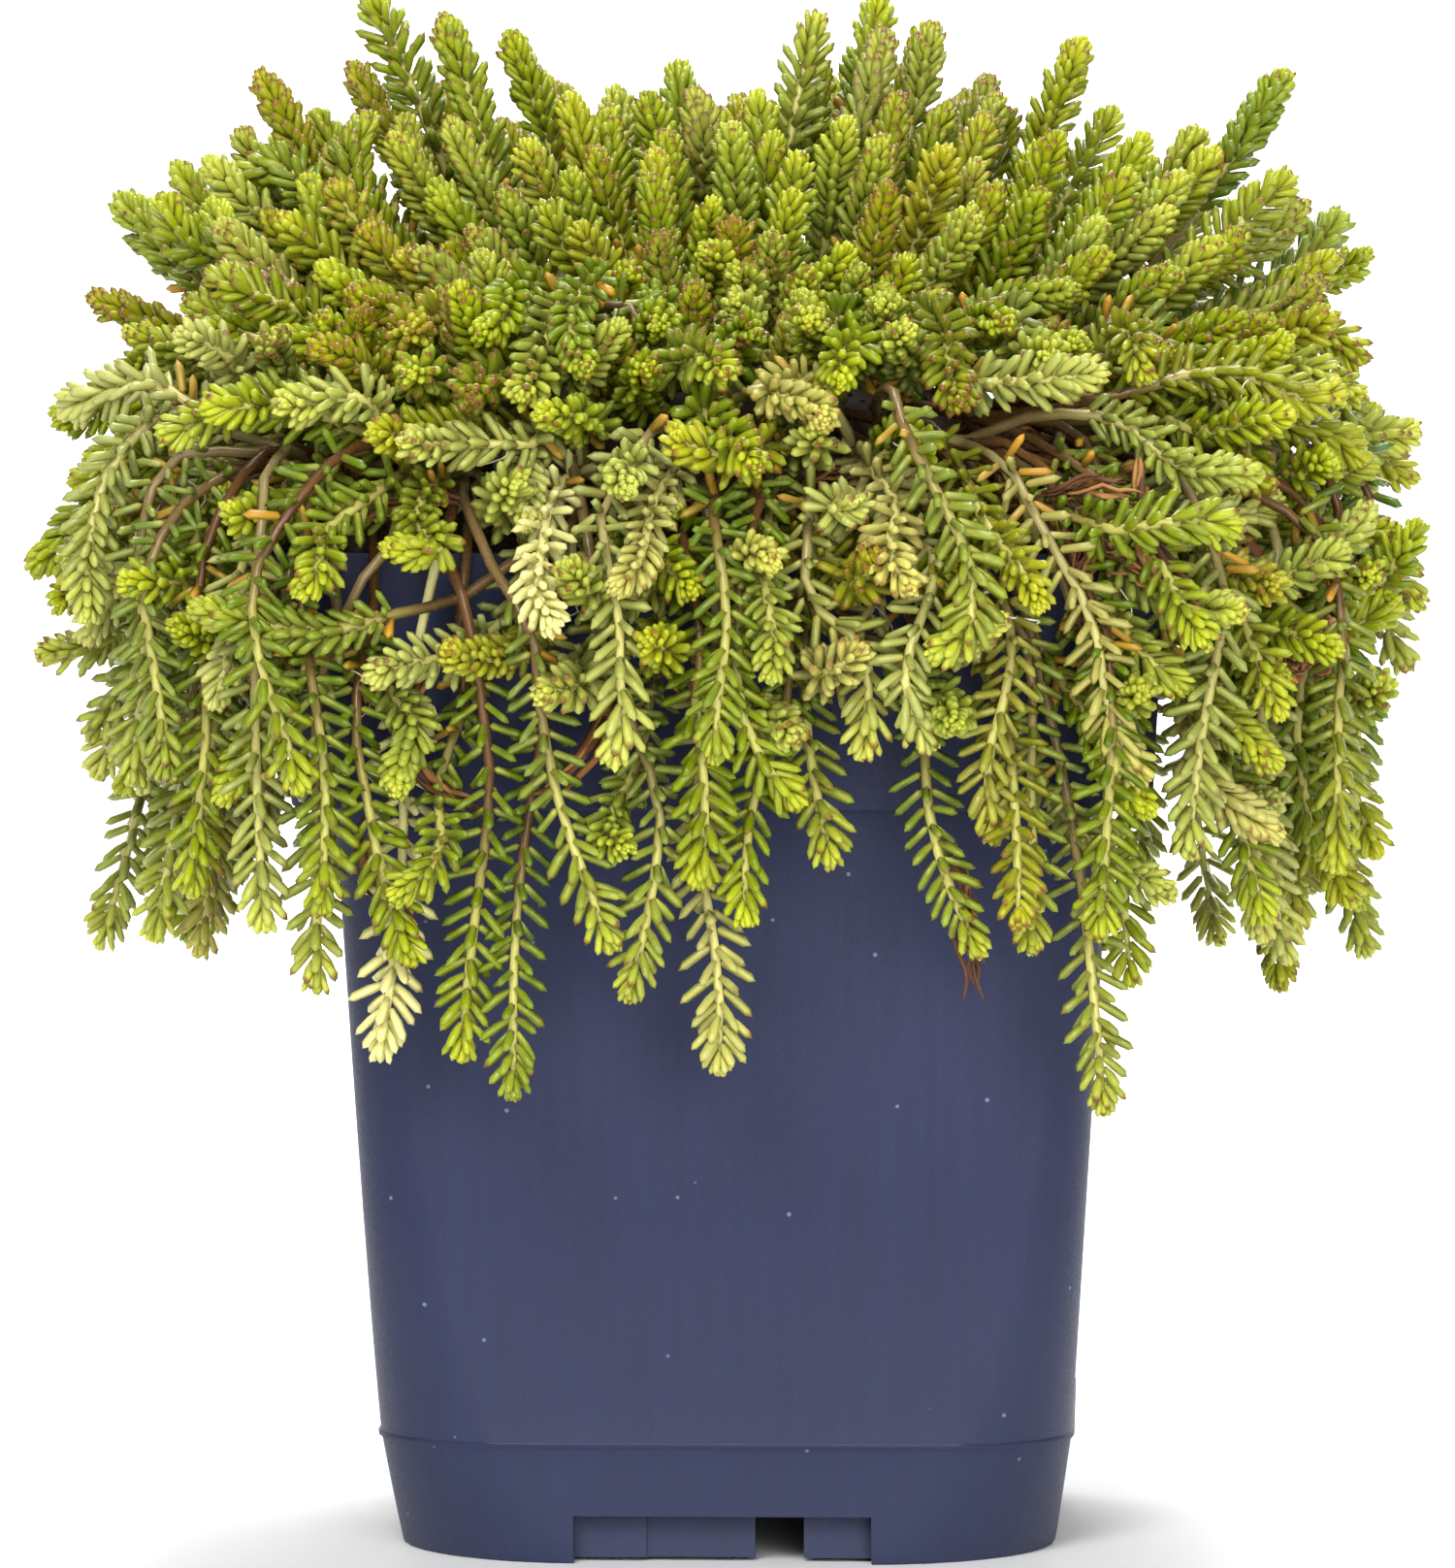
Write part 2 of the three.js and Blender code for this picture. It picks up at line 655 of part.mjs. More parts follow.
// The shoots press each other apart, and stay off the soil and the pot
function relax(shoots) {
  const all = [];
  shoots.forEach((shoot, s) =>
    shoot.line.forEach((point, sample) => all.push({ s, sample, owner: shoot.owner, point })),
  );
  const reaches = all.map(({ s, sample }) => reachAt(shoots[s], sample));
  for (let round = 0; round < RELAX_ROUNDS; round++) {
    const moves = all.map(() => [0, 0, 0]);
    for (let i = 0; i < all.length; i++) {
      for (let j = i + 1; j < all.length; j++) {
        const a = all[i];
        const b = all[j];
        if (a.s === b.s) continue;
        const kin = a.owner === b.owner;
        if (kin && a.sample < 5 && b.sample < 5) continue;
        const wanted = (reaches[i] + reaches[j]) * (kin ? 0.8 : 0.97);
        const dx = a.point[0] - b.point[0];
        const dy = a.point[1] - b.point[1];
        const dz = a.point[2] - b.point[2];
        const distance = Math.sqrt(dx * dx + dy * dy + dz * dz);
        if (distance >= wanted || distance < 1e-6) continue;
        const push = ((wanted - distance) / distance) * 0.25;
        const step = [dx * push, dy * push, dz * push];
        moves[i] = add(moves[i], step);
        moves[j] = sub(moves[j], step);
      }
    }
    all.forEach((entry, i) => {
      const { sample } = entry;
      if (sample === 0) return;
      const free = sample < 2 ? 0.3 : 1;
      const move = moves[i];
      const size = length(move);
      const limited = size > 1.2 ? scale(move, 1.2 / size) : move;
      entry.point = add(entry.point, scale(limited, free));
      entry.point = keepClear(entry.point, reaches[i], sample);
    });
    shoots.forEach((shoot, s) => {
      const line = all.filter((entry) => entry.s === s);
      for (let k = 1; k + 1 < line.length; k++) {
        const middle = mix(line[k - 1].point, line[k + 1].point, 0.5);
        line[k].point = mix(line[k].point, middle, 0.22);
      }
    });
  }
  all.forEach(({ s, sample, point }) => {
    shoots[s].line[sample] = point;
  });
}

function keepClear(point, reach, sample) {
  let [x, y, z] = point;
  const inside = Math.max(Math.abs(x), Math.abs(y)) < RIM_HALF + 2;
  const low = groundHeight(x, y) + (sample < 3 ? 1 : reach * 0.9 + 0.8);
  if (inside && z < low) z += (low - z) * 0.6;
  const room = reach + 0.6;
  const distance = potDistance(x, y, z);
  const nearWall = Math.max(Math.abs(x), Math.abs(y)) > RIM_HALF - 8;
  if (nearWall && distance < room) {
    const e = 0.5;
    const slope = [
      potDistance(x + e, y, z) - potDistance(x - e, y, z),
      potDistance(x, y + e, z) - potDistance(x, y - e, z),
      potDistance(x, y, z + e) - potDistance(x, y, z - e),
    ];
    const push = scale(unit(slope), (room - distance) * 0.7);
    [x, y, z] = add([x, y, z], push);
  }
  return [x, y, z];
}

// Rings along a shoot: bare stem first, then rings whose points are by turns valley and leaf tip
function ringPlan(shoot) {
  const { habit } = shoot;
  const curve = curveThrough(shoot.line);
  const total = curve.getLength();
  const first = habit.bare;
  const leafy = total * (1 - first);
  const count = Math.max(3, Math.round((leafy - habit.apex) / habit.spacing));
  const stations = [];
  const step = shoot.start < SHOOT_STARTS[0] ? BARE_STEP : first;
  for (let at = shoot.start; at < first - 0.05; at += step) {
    stations.push({ at, leafy: false, radius: BRANCH_RADIUS });
  }
  for (let i = 0; i < count; i++) {
    const share = i / count;
    const at = first + (1 - first) * share * (1 + LOW_SPREAD * (1 - share));
    stations.push({ at, leafy: true, radius: habit.valley });
  }
  return { curve, stations };
}

function curveThrough(line) {
  return new THREE.CatmullRomCurve3(line.map((p) => new THREE.Vector3(...p)));
}

function framesAlong(curve, stations) {
  const frames = [];
  let normal = null;
  for (const { at } of stations) {
    const centre = curve.getPointAt(at).toArray();
    const tangent = curve.getTangentAt(at).toArray();
    if (!normal) normal = Math.abs(tangent[2]) > 0.9 ? [1, 0, 0] : [0, 0, 1];
    normal = unit(sub(normal, scale(tangent, dot(normal, tangent))));
    frames.push({ centre, tangent, normal, side: cross(tangent, normal) });
  }
  return frames;
}

function shootSolid(shoot, shootIndex, neighbours) {
  const { curve, stations } = ringPlan(shoot);
  const frames = framesAlong(curve, stations);
  const random = seeded(101 + shootIndex * 17);
  const { habit } = shoot;
  const rings = stations.map((station, m) => {
    const { centre, tangent, normal, side } = frames[m];
    const ring = [];
    const shrink = m > stations.length - 2 ? 0.78 : 1;
    for (let k = 0; k < SIDES; k++) {
      const angle = ((k + m * 0.12) / SIDES) * Math.PI * 2;
      const out = add(scale(normal, Math.cos(angle)), scale(side, Math.sin(angle)));
      const isTip = station.leafy && (k + m) % 2 === 0;
      const chance = random();
      const lengthen = 0.9 + 0.2 * chance;
      const squeeze = shoot.squeeze.get(`${m}:${k}`) ?? 1;
      const stemRadius = station.radius * Math.max(squeeze, 0.5);
      const radius = isTip ? habit.reach * lengthen * shrink : stemRadius;
      const ahead = isTip ? habit.forward * lengthen : 0;
      let vertex = add(centre, add(scale(out, radius), scale(tangent, ahead)));
      if (station.leafy) vertex = pressed(vertex, centre, shoot.owner, habit.reach, squeeze, neighbours);
      ring.push(vertex);
    }
    return ring;
  });
  const last = frames[frames.length - 1];
  const apex = add(last.centre, scale(last.tangent, habit.apex));
  return loftSolid(frames[0].centre, rings, apex);
}

// The middle line of a bunch, and how thick its core is along it
function coreLine(shoots, owner) {
  const own = shoots.filter((shoot) => shoot.owner === owner);
  return own[0].line.map((_, i) => scale(own.map(({ line }) => line[i]).reduce(add), 1 / own.length));
}

function coreRadius(habit, at) {
  const swell = clamp(at / FULL_AT, 0, 1);
  const taper = clamp((CORE_END - at) / (CORE_END - FULL_AT), 0, 1);
  return mixNumber(CORE_START_RADIUS, habit.core, swell) * mixNumber(0.55, 1, taper);
}

function coreStation(step) {
  return mixNumber(CORE_FROM, CORE_END, step / CORE_STEPS);
}

function coreSolid(shoots, owner, neighbours, squeezes) {
  const { habit } = shoots.find((shoot) => shoot.owner === owner);
  const line = coreLine(shoots, owner);
  const curve = curveThrough(line);
  const stations = [];
  for (let i = 0; i <= CORE_STEPS; i++) stations.push({ at: coreStation(i) });
  const frames = framesAlong(curve, stations);
  const [x, y, z] = line[0];
  const low = moundHeight(x, y) - PEG_DEPTH;
  const rings = [pegRing([x, y, low])];
  const thick = habit.core > STEM_RADIUS;
  frames.forEach(({ centre, tangent, normal, side }, m) => {
    const radius = thick ? coreRadius(habit, stations[m].at) : STEM_RADIUS;
    const ring = [];
    for (let k = 0; k < CORE_SIDES; k++) {
      const angle = ((k + 0.5) / CORE_SIDES) * Math.PI * 2;
      const out = add(scale(normal, Math.cos(angle)), scale(side, Math.sin(angle)));
      const isTip = thick && m > 0 && (k + m) % 2 === 0;
      const far = radius + (isTip ? CORE_LEAF : 0);
      const vertex = add(centre, add(scale(out, far), scale(tangent, isTip ? CORE_LEAF : 0)));
      const squeeze = squeezes.get(`${owner}:${m}:${k}`) ?? 1;
      ring.push(pressed(vertex, centre, owner, radius, squeeze, neighbours));
    }
    rings.push(ring);
  });
  const last = frames[frames.length - 1];
  const apex = add(last.centre, scale(last.tangent, thick ? CORE_LEAF : 0.4));
  return loftSolid([x, y, low], rings, apex);
}

function pegRing([x, y, z]) {
  const ring = [];
  for (let k = 0; k < CORE_SIDES; k++) {
    const angle = (k / CORE_SIDES) * Math.PI * 2;
    ring.push([x + STEM_RADIUS * Math.cos(angle), y + STEM_RADIUS * Math.sin(angle), z]);
  }
  return ring;
}

// A leaf that would reach into a neighbour, the soil or the pot lies back against it
function pressed(vertex, centre, owner, own, squeeze, neighbours) {
  let arm = scale(sub(vertex, centre), squeeze);
  for (const { owner: other, point, reach } of neighbours) {
    if (other === owner) continue;
    const toward = sub(point, centre);
    const distance = length(toward);
    if (distance > own + reach + 3) continue;
    const limit = Math.max((distance * own) / (own + reach) - LEAF_CLEARANCE, 0.3);
    const along = dot(arm, toward) / distance;
    if (along > limit) arm = scale(arm, limit / along);
  }
  let [x, y, z] = add(centre, arm);
  for (let step = 0; step < 8; step++) {
    const inside = Math.max(Math.abs(x), Math.abs(y)) < RIM_HALF + 2;
    const buried = inside && z < groundHeight(x, y) + SOIL_CLEARANCE;
    const nearWall = Math.max(Math.abs(x), Math.abs(y)) > RIM_HALF - 8;
    if (!buried && !(nearWall && potDistance(x, y, z) < 0.5)) break;
    arm = scale(arm, 0.8);
    [x, y, z] = add(centre, arm);
  }
  return [x, y, z];
}

// Points along every shoot and core, with the room that each keeps to itself
function sampledNeighbours(shoots) {
  const samples = [];
  const sampleCurve = (curve, owner, until, reachOf) => {
    const count = Math.ceil(curve.getLength() / 1.5);
    for (let i = 0; i <= count && i / count <= until; i++) {
      const at = i / count;
      samples.push({ owner, point: curve.getPointAt(at).toArray(), reach: reachOf(at) });
    }
  };
  for (const { owner, line, habit } of shoots) {
    sampleCurve(curveThrough(line), owner, 1, (at) => (at < habit.bare ? STEM_RADIUS : habit.reach));
  }
  for (const owner of new Set(shoots.map((shoot) => shoot.owner))) {
    const { habit } = shoots.find((shoot) => shoot.owner === owner);
    if (habit.core <= STEM_RADIUS) continue;
    sampleCurve(curveThrough(coreLine(shoots, owner)), owner, CORE_END, (at) => coreRadius(habit, at));
  }
  return samples;
}

// A bunch with one more shoot, which starts lower where it would otherwise miss the core
function joined(bunch, shoot, shootIndex, neighbours) {
  let whole = bunch;
  for (const start of SHOOT_STARTS) {
    shoot.start = start;
    whole = bunch.add(shootSolid(shoot, shootIndex, neighbours));
    if (whole.decompose().length === 1) break;
  }
  return largestBody(whole);
}

function bunchSolid(shoots, owner, neighbours, squeezes) {
  const own = shoots.filter((shoot) => shoot.owner === owner);
  let bunch = coreSolid(shoots, owner, neighbours, squeezes);
  for (const shoot of own) bunch = joined(bunch, shoot, shoots.indexOf(shoot), neighbours);
  return bunch.simplify(FINEST_DETAIL);
}

function boxesMeet(a, b) {
  return [0, 1, 2].every((i) => a.min[i] < b.max[i] && b.min[i] < a.max[i]);
}

// Leaves of two bunches that still cross are drawn in, and both bunches are made again
function settle(shoots, owners, neighbours, fixed) {
  const squeezes = new Map();
  const solids = owners.map((owner) => bunchSolid(shoots, owner, neighbours, squeezes));
  for (let round = 0; round < 12; round++) {
    const touched = new Set();
    const boxes = solids.map((solid) => solid.boundingBox());
    for (let a = 0; a < solids.length; a++) {
      for (let b = a + 1; b < solids.length; b++) {
        if (!boxesMeet(boxes[a], boxes[b])) continue;
        const common = solids[a].intersect(solids[b]);
        if (common.isEmpty() || common.volume() < 1e-4) continue;
        const spot = common.boundingBox();
        for (const owner of [a, b]) {
          drawIn(shoots, owner, spot, squeezes);
          touched.add(owner);
        }
      }
    }
    solids.forEach((solid, owner) => {
      for (const other of fixed) {
        const common = solid.intersect(other);
        if (common.isEmpty() || common.volume() < 1e-4) continue;
        drawIn(shoots, owner, common.boundingBox(), squeezes);
        touched.add(owner);
      }
    });
    if (!touched.size) break;
    for (const owner of touched) solids[owner] = bunchSolid(shoots, owner, neighbours, squeezes);
  }
  return solids;
}

function drawIn(shoots, owner, spot, squeezes) {
  const near = (centre, reach) =>
    [0, 1, 2].every((i) => centre[i] > spot.min[i] - reach && centre[i] < spot.max[i] + reach);
  const tighten = (map, key) => map.set(key, (map.get(key) ?? 1) * 0.88);
  for (const shoot of shoots.filter((one) => one.owner === owner)) {
    const { curve, stations } = ringPlan(shoot);
    stations.forEach((station, m) => {
      const centre = curve.getPointAt(station.at).toArray();
      if (!near(centre, shoot.habit.reach + 1.5)) return;
      for (let k = 0; k < SIDES; k++) tighten(shoot.squeeze, `${m}:${k}`);
    });
  }
  const { habit } = shoots.find((shoot) => shoot.owner === owner);
  const curve = curveThrough(coreLine(shoots, owner));
  for (let m = 0; m <= CORE_STEPS; m++) {
    const centre = curve.getPointAt(coreStation(m)).toArray();
    if (!near(centre, habit.core + CORE_LEAF)) continue;
    for (let k = 0; k < CORE_SIDES; k++) tighten(squeezes, `${owner}:${m}:${k}`);
  }
}

const bunches = [
  ...UPRIGHT_TIPS.map((tips) => ({ tips, habit: "upright" })),
  ...farUprightBunches().map((tips) => ({ tips, habit: "upright" })),
  ...HANGING_TIPS.map((tips) => ({ tips, habit: "hanging" })),
  ...farHangingBunches().map((tips) => ({ tips, habit: "hanging" })),
  { tips: [SEED_HEAD_TIP], habit: "seedHead" },
  { tips: [DRY_CLUMP_TIP], habit: "dryClump" },
];
const shoots = makeShoots(bunches);
relax(shoots);
const neighbours = sampledNeighbours(shoots);
const pot = potSolid();
const soil = soilSolid(bunches.map(({ root }) => root));
const rootMat = rootMatSolid();
const owners = bunches.map((_, owner) => owner);
const plantSolids = settle(shoots, owners, neighbours, [pot, soil, rootMat]);

// The finished group
const plant = new THREE.Group();

function addMesh(name, solid, { color, roughness }) {
  const material = new THREE.MeshStandardMaterial({ color, roughness, metalness: 0 });
  const mesh = new THREE.Mesh(geometryOf(solid), material);
  mesh.name = name;
  plant.add(mesh);
}

const NODE_NAMES = {
  upright: "stem_upright_",
  hanging: "stem_hanging_",
  seedHead: "dried_seed_head",
  dryClump: "dried_leaf_clump",
};
const counts = { upright: 0, hanging: 0 };
bunches.forEach(({ habit }, owner) => {
  let name = NODE_NAMES[habit];
  if (habit in counts) {
    counts[habit] += 1;
    name += String(counts[habit]).padStart(2, "0");
  }
  addMesh(name, plantSolids[owner], COLOURS[habit]);
});
addMesh("pot", pot, COLOURS.pot);
addMesh("soil", soil, COLOURS.soil);
addMesh("root_mat", rootMat, COLOURS.rootMat);

export default plant;
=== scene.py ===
"""Looks of a potted tasteless stonecrop, Sedum sexangulare, in a square nursery pot.

Sizes are millimetres unless a name says otherwise, and become metres where a mesh is made.
The front of the plant faces -Y and the pot stands on z = 0.
"""

from __future__ import annotations

import json
import logging
import math
from collections.abc import Callable, Sequence
from dataclasses import dataclass, field
from enum import Enum

import bmesh
import bpy
import numpy as np
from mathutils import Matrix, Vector

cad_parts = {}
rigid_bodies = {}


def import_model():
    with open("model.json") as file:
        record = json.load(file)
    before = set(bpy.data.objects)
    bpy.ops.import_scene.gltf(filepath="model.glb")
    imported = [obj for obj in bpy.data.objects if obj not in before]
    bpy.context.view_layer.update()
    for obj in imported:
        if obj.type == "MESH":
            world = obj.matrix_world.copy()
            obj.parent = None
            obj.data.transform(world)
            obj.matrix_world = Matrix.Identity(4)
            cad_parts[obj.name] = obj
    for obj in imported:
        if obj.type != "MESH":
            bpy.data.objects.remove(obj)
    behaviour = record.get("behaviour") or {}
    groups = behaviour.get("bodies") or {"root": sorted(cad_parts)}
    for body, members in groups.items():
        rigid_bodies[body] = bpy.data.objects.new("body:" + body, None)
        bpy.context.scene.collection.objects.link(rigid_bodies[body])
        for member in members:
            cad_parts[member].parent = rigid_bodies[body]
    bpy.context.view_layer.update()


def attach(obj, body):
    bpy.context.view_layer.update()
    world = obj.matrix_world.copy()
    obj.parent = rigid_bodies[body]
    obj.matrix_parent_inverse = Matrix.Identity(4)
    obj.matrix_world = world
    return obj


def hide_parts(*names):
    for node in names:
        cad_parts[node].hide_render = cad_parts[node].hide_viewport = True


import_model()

LOG = logging.getLogger("stonecrop")
MM = 0.001
GOLDEN_ANGLE = math.pi * (3 - math.sqrt(5))

UP = np.array([0.0, 0.0, 1.0])

Array = np.ndarray
Piece = bpy.types.Object
Material = bpy.types.Material
Socket = bpy.types.NodeSocket
Point = tuple[float, float, float]
Colour = tuple[float, float, float, float]


def linear(code: str) -> Colour:
    """Turns a hexadecimal screen colour into the linear colour that a shader takes.

    Args:
        code: Six hexadecimal digits.

    Returns:
        Red, green, blue and an alpha of 1.
    """
    channels = [int(code[i : i + 2], 16) / 255 for i in (0, 2, 4)]
    toned = [c / 12.92 if c <= 0.04045 else ((c + 0.055) / 1.055) ** 2.4 for c in channels]
    return (toned[0], toned[1], toned[2], 1.0)


def unit(rows: Array) -> Array:
    """Scales each row to length one."""
    return rows / np.maximum(np.linalg.norm(rows, axis=-1, keepdims=True), 1e-9)


def outward(place: Sequence[float]) -> Array:
    """The level direction from the pot's axis to a place."""
    return unit(np.array([place[0], place[1], 0.0]))


def around(out: float, angle: float, z: float) -> Point:
    """The point at a distance and an angle round the pot's axis."""
    return (out * math.cos(angle), out * math.sin(angle), z)


class Habit(Enum):
    """How a bunch grows, with the start of its node's name."""

    UPRIGHT = "stem_upright_"
    HANGING = "stem_hanging_"
    SEED_HEAD = "dried_seed_head"
    DRY_CLUMP = "dried_leaf_clump"


class Look(Enum):
    """How closely a shoot carries its leaves."""

    DENSE = "dense"
    OPEN = "open"
    TRAILING = "trailing"


class Tone(Enum):
    """Colour of a shoot as its paleness, redness, dryness and blueness, each 0 to 1."""

    GREEN = (0.0, 0.15, 0.0, 0.0)
    RED = (0.0, 0.9, 0.1, 0.0)
    CREAM = (1.0, 0.0, 0.0, 0.0)
    BLUE = (0.0, 0.05, 0.0, 0.5)
    YELLOW = (0.45, 0.1, 0.0, 0.0)


@dataclass(frozen=True)
class PotSizes:
    """Sizes of the square pot."""

    height: float = 127.0
    wall: float = 1.3
    rim_half: float = 55.0
    collar_bottom_half: float = 53.4
    collar_bottom_z: float = 95.0
    collar_corner: float = 9.0
    body_top_half: float = 48.3
    seam_half: float = 43.5
    seam_z: float = 15.0
    seam_proud: float = 0.35
    seam_band: float = 0.5
    foot_half: float = 41.4
    corner_top: float = 7.0
    corner_growth: float = 17.0
    corner_fade: float = 22.0
    edge_radius: float = 0.45
    floor_underside_z: float = 6.4
    floor_top_z: float = 7.8
    notch_half: float = 18.6
    notch_height: float = 6.1
    panel_set_back: float = 2.75
    panel_extra_depth: float = 0.6
    panel_bottom_z: float = 0.5
    drain_gap: tuple[float, float] = (4.0, 10.1)
    panel_step_x: float = -9.6
    drain_hole_radius: float = 4.0
    drain_hole_place: float = 19.0

    def body_half(self, z: Array | float) -> Array:
        """Half width of the body at a height."""
        low = self.foot_half + (self.seam_half - self.foot_half) * np.asarray(z) / self.seam_z
        share = (np.asarray(z) - self.seam_z) / (self.collar_bottom_z - self.seam_z)
        return np.where(z < self.seam_z, low, self.seam_half + (self.body_top_half - self.seam_half) * share)

    def collar_half(self, z: Array | float) -> Array:
        """Half width of the collar at a height."""
        share = (np.asarray(z) - self.collar_bottom_z) / (self.height - self.collar_bottom_z)
        return self.collar_bottom_half + (self.rim_half - self.collar_bottom_half) * share

    def body_corner(self, z: float) -> float:
        """Corner radius of the body at a height."""
        return self.corner_top + self.corner_growth * math.exp(-z / self.corner_fade)

    def distance(self, places: Array) -> Array:
        """How far points are from the pot's outside.

        Args:
            places: Points, one to a row.

        Returns:
            Distances, negative within the pot.
        """
        x, y, z = places.T
        half = np.where(
            z > self.collar_bottom_z - 3,
            self.collar_half(np.minimum(z, self.height)),
            self.body_half(np.maximum(z, 0)),
        )
        qx = np.abs(x) - (half - self.collar_corner)
        qy = np.abs(y) - (half - self.collar_corner)
        outer = np.hypot(np.maximum(qx, 0), np.maximum(qy, 0))
        across = outer + np.minimum(np.maximum(qx, qy), 0) - self.collar_corner
        above = z - self.height
        beyond = np.hypot(np.maximum(across, 0), np.maximum(above, 0))
        return beyond + np.minimum(np.maximum(across, above), 0)


@dataclass(frozen=True)
class GroundPlan:
    """The mound of soil in the pot and the mat of roots that lies on its front edge."""

    pot: PotSizes
    gap: float = 0.35
    top: float = 147.0
    edge: float = 122.0
    lump: float = 0.7
    mat_centre: tuple[float, float] = (39.0, -41.0)
    mat_half: tuple[float, float] = (15.0, 9.5)
    mat_turn: float = -0.35
    mat_lift: float = 0.9
    mat_thick: float = 1.1
    mat_ridge: float = 1.3

    @property
    def half(self) -> float:
        """Half width of the mound at the collar."""
        return float(self.pot.collar_half(self.edge)) - self.pot.wall - self.gap

    @property
    def corner(self) -> float:
        """Corner radius of the mound at the collar."""
        return self.pot.collar_corner - self.pot.wall - self.gap

    def share(self, x: Array, y: Array) -> Array:
        """How far out points lie, 0 in the middle and 1 at the collar.

        Args:
            x: Places across.
            y: Places front to back.

        Returns:
            Shares from 0 to 1.
        """
        middle = self.half - self.corner
        ax, ay = np.abs(x), np.abs(y)
        flat = np.maximum(ax, ay) / self.half
        square = np.maximum(ax * ax + ay * ay, 1e-9)
        total = middle * (ax + ay)
        root = np.sqrt(np.maximum(total**2 - square * (2 * middle**2 - self.corner**2), 0))
        inverse = np.maximum((total + root) / square, 1e-9)
        return np.minimum(np.where(np.minimum(ax, ay) <= middle * flat, flat, 1 / inverse), 1)

    def mound(self, x: Array, y: Array) -> Array:
        """Height of the mound at places."""
        share = self.share(x, y)
        lumps = np.sin(x / 5.1 + 1) * np.sin(y / 4.3) + np.sin((x + y) / 7.7)
        return self.edge + (self.top - self.edge) * (1 - share**3) + self.lump * lumps * (1 - share)

    def mat_plan(self, x: Array, y: Array) -> tuple[Array, Array]:
        """The mat's own coordinates at places, -1 to 1 inside it."""
        dx, dy = x - self.mat_centre[0], y - self.mat_centre[1]
        cos, sin = math.cos(self.mat_turn), math.sin(self.mat_turn)
        return (dx * cos - dy * sin) / self.mat_half[0], (dx * sin + dy * cos) / self.mat_half[1]

    def mat_place(self, u: Array, v: Array) -> tuple[Array, Array]:
        """Places of points given in millimetres along the mat's own axes."""
        cos, sin = math.cos(self.mat_turn), math.sin(self.mat_turn)
        return self.mat_centre[0] + u * cos + v * sin, self.mat_centre[1] - u * sin + v * cos

    def bed(self, x: Array, y: Array) -> Array:
        """What the mat rests on: the mound, then a ramp up to the rim and over it."""
        inside = self.pot.rim_half - self.pot.wall - np.maximum(np.abs(x), np.abs(y))
        return np.maximum(self.mound(x, y), self.pot.height - 0.9 * np.maximum(inside - 1, 0))

    def mat_top(self, x: Array, y: Array) -> Array:
        """Height of the mat's upper side at places."""
        u, v = self.mat_plan(x, y)
        fade = np.sqrt(np.maximum(1 - u**4 - v**4, 0))
        strands = np.abs(np.sin(v * 6.1 + np.sin(u * 2.7 + 0.6) * 1.6))
        return self.bed(x, y) + self.mat_lift + self.mat_thick + self.mat_ridge * strands * fade

    def height(self, x: Array, y: Array) -> Array:
        """Height of whatever lies on top at places."""
        u, v = self.mat_plan(x, y)
        on_mat = (np.abs(u) < 1.08) & (np.abs(v) < 1.12)
        return np.where(on_mat, self.mat_top(x, y), self.mound(x, y))


# Bunches that rise from the soil: the tips of the shoots of each.
UPRIGHT_TIPS: tuple[tuple[Point, ...], ...] = (
    ((-47, 15, 195), (-40, 25, 183)),
    ((-37, 4, 192), (-43, -5, 177)),
    ((-29, 12, 190), (-23, 25, 183)),
    ((-21, 4, 182), (-26, -8, 176)),
    ((-11, 4, 182), (-8, 25, 186)),
    ((0, -8, 178), (5, 2, 177)),
    ((10, 15, 192), (0, 21, 181)),
    ((18, 31, 195), (8, 33, 184)),
    ((19, 11, 190), (14, -3, 179)),
    ((25, 22, 191), (32, 31, 184)),
    ((32, 9, 179), (27, -9, 175)),
    ((44, 15, 189), (48, 26, 180)),
    ((41, -4, 177), (52, 4, 177)),
    ((70, 15, 185), (61, 15, 176)),
    ((70, -5, 172), (61, -18, 164)),
    ((50, -12, 172), (39, -17, 170)),
    ((31, -27, 167), (20, -20, 171)),
    ((8, -20, 170), (6, -32, 165)),
    ((17, -40, 161), (27, -42, 158)),
    ((47, -32, 163), (42, -42, 154)),
    ((64, -33, 155), (55, -43, 151)),
    ((76, -3, 162), (75, -22, 155)),
    ((86, -1, 140), (83, -16, 128)),
    ((-61, 10, 185), (-67, 2, 174)),
    ((-73, 8, 168), (-81, -6, 157)),
    ((-64, -15, 166), (-75, -22, 153)),
    ((-50, -14, 171), (-52, 4, 175)),
    ((-37, -14, 171), (-28, -19, 170)),
    ((-18, -30, 166), (-10, -20, 172), (-8, -43, 158)),
    ((-38, -32, 163), (-27, -40, 161), (-17, -47, 151)),
    ((-50, -31, 161), (-40, -46, 154)),
    ((-63, -41, 144), (-75, -36, 136)),
)

# Bunches that hang over the rim, by their tips.
HANGING_TIPS: tuple[tuple[Point, ...], ...] = (
    ((-40, -64, 66), (-50, -77, 120)),
    ((-24, -68, 59), (-24, -84, 117)),
    ((0, -69, 65), (-8, -85, 122)),
    ((12, -68, 88), (8, -86, 112)),
    ((28, -68, 76), (24, -86, 122)),
    ((40, -78, 82), (40, -84, 119)),
    ((47, -68, 59), (60, -74, 117)),
    ((64, -52, 80), (68, -62, 106)),
    ((80, -32, 86), (85, -10, 110)),
    ((-64, -46, 84), (-78, -38, 114), (-62, -63, 108)),
    ((-66, -16, 74), (-88, -8, 121)),
)

SEED_HEAD_TIP: Point = (-58, -26, 160)
DRY_CLUMP_TIP: Point = (74, -38, 112)

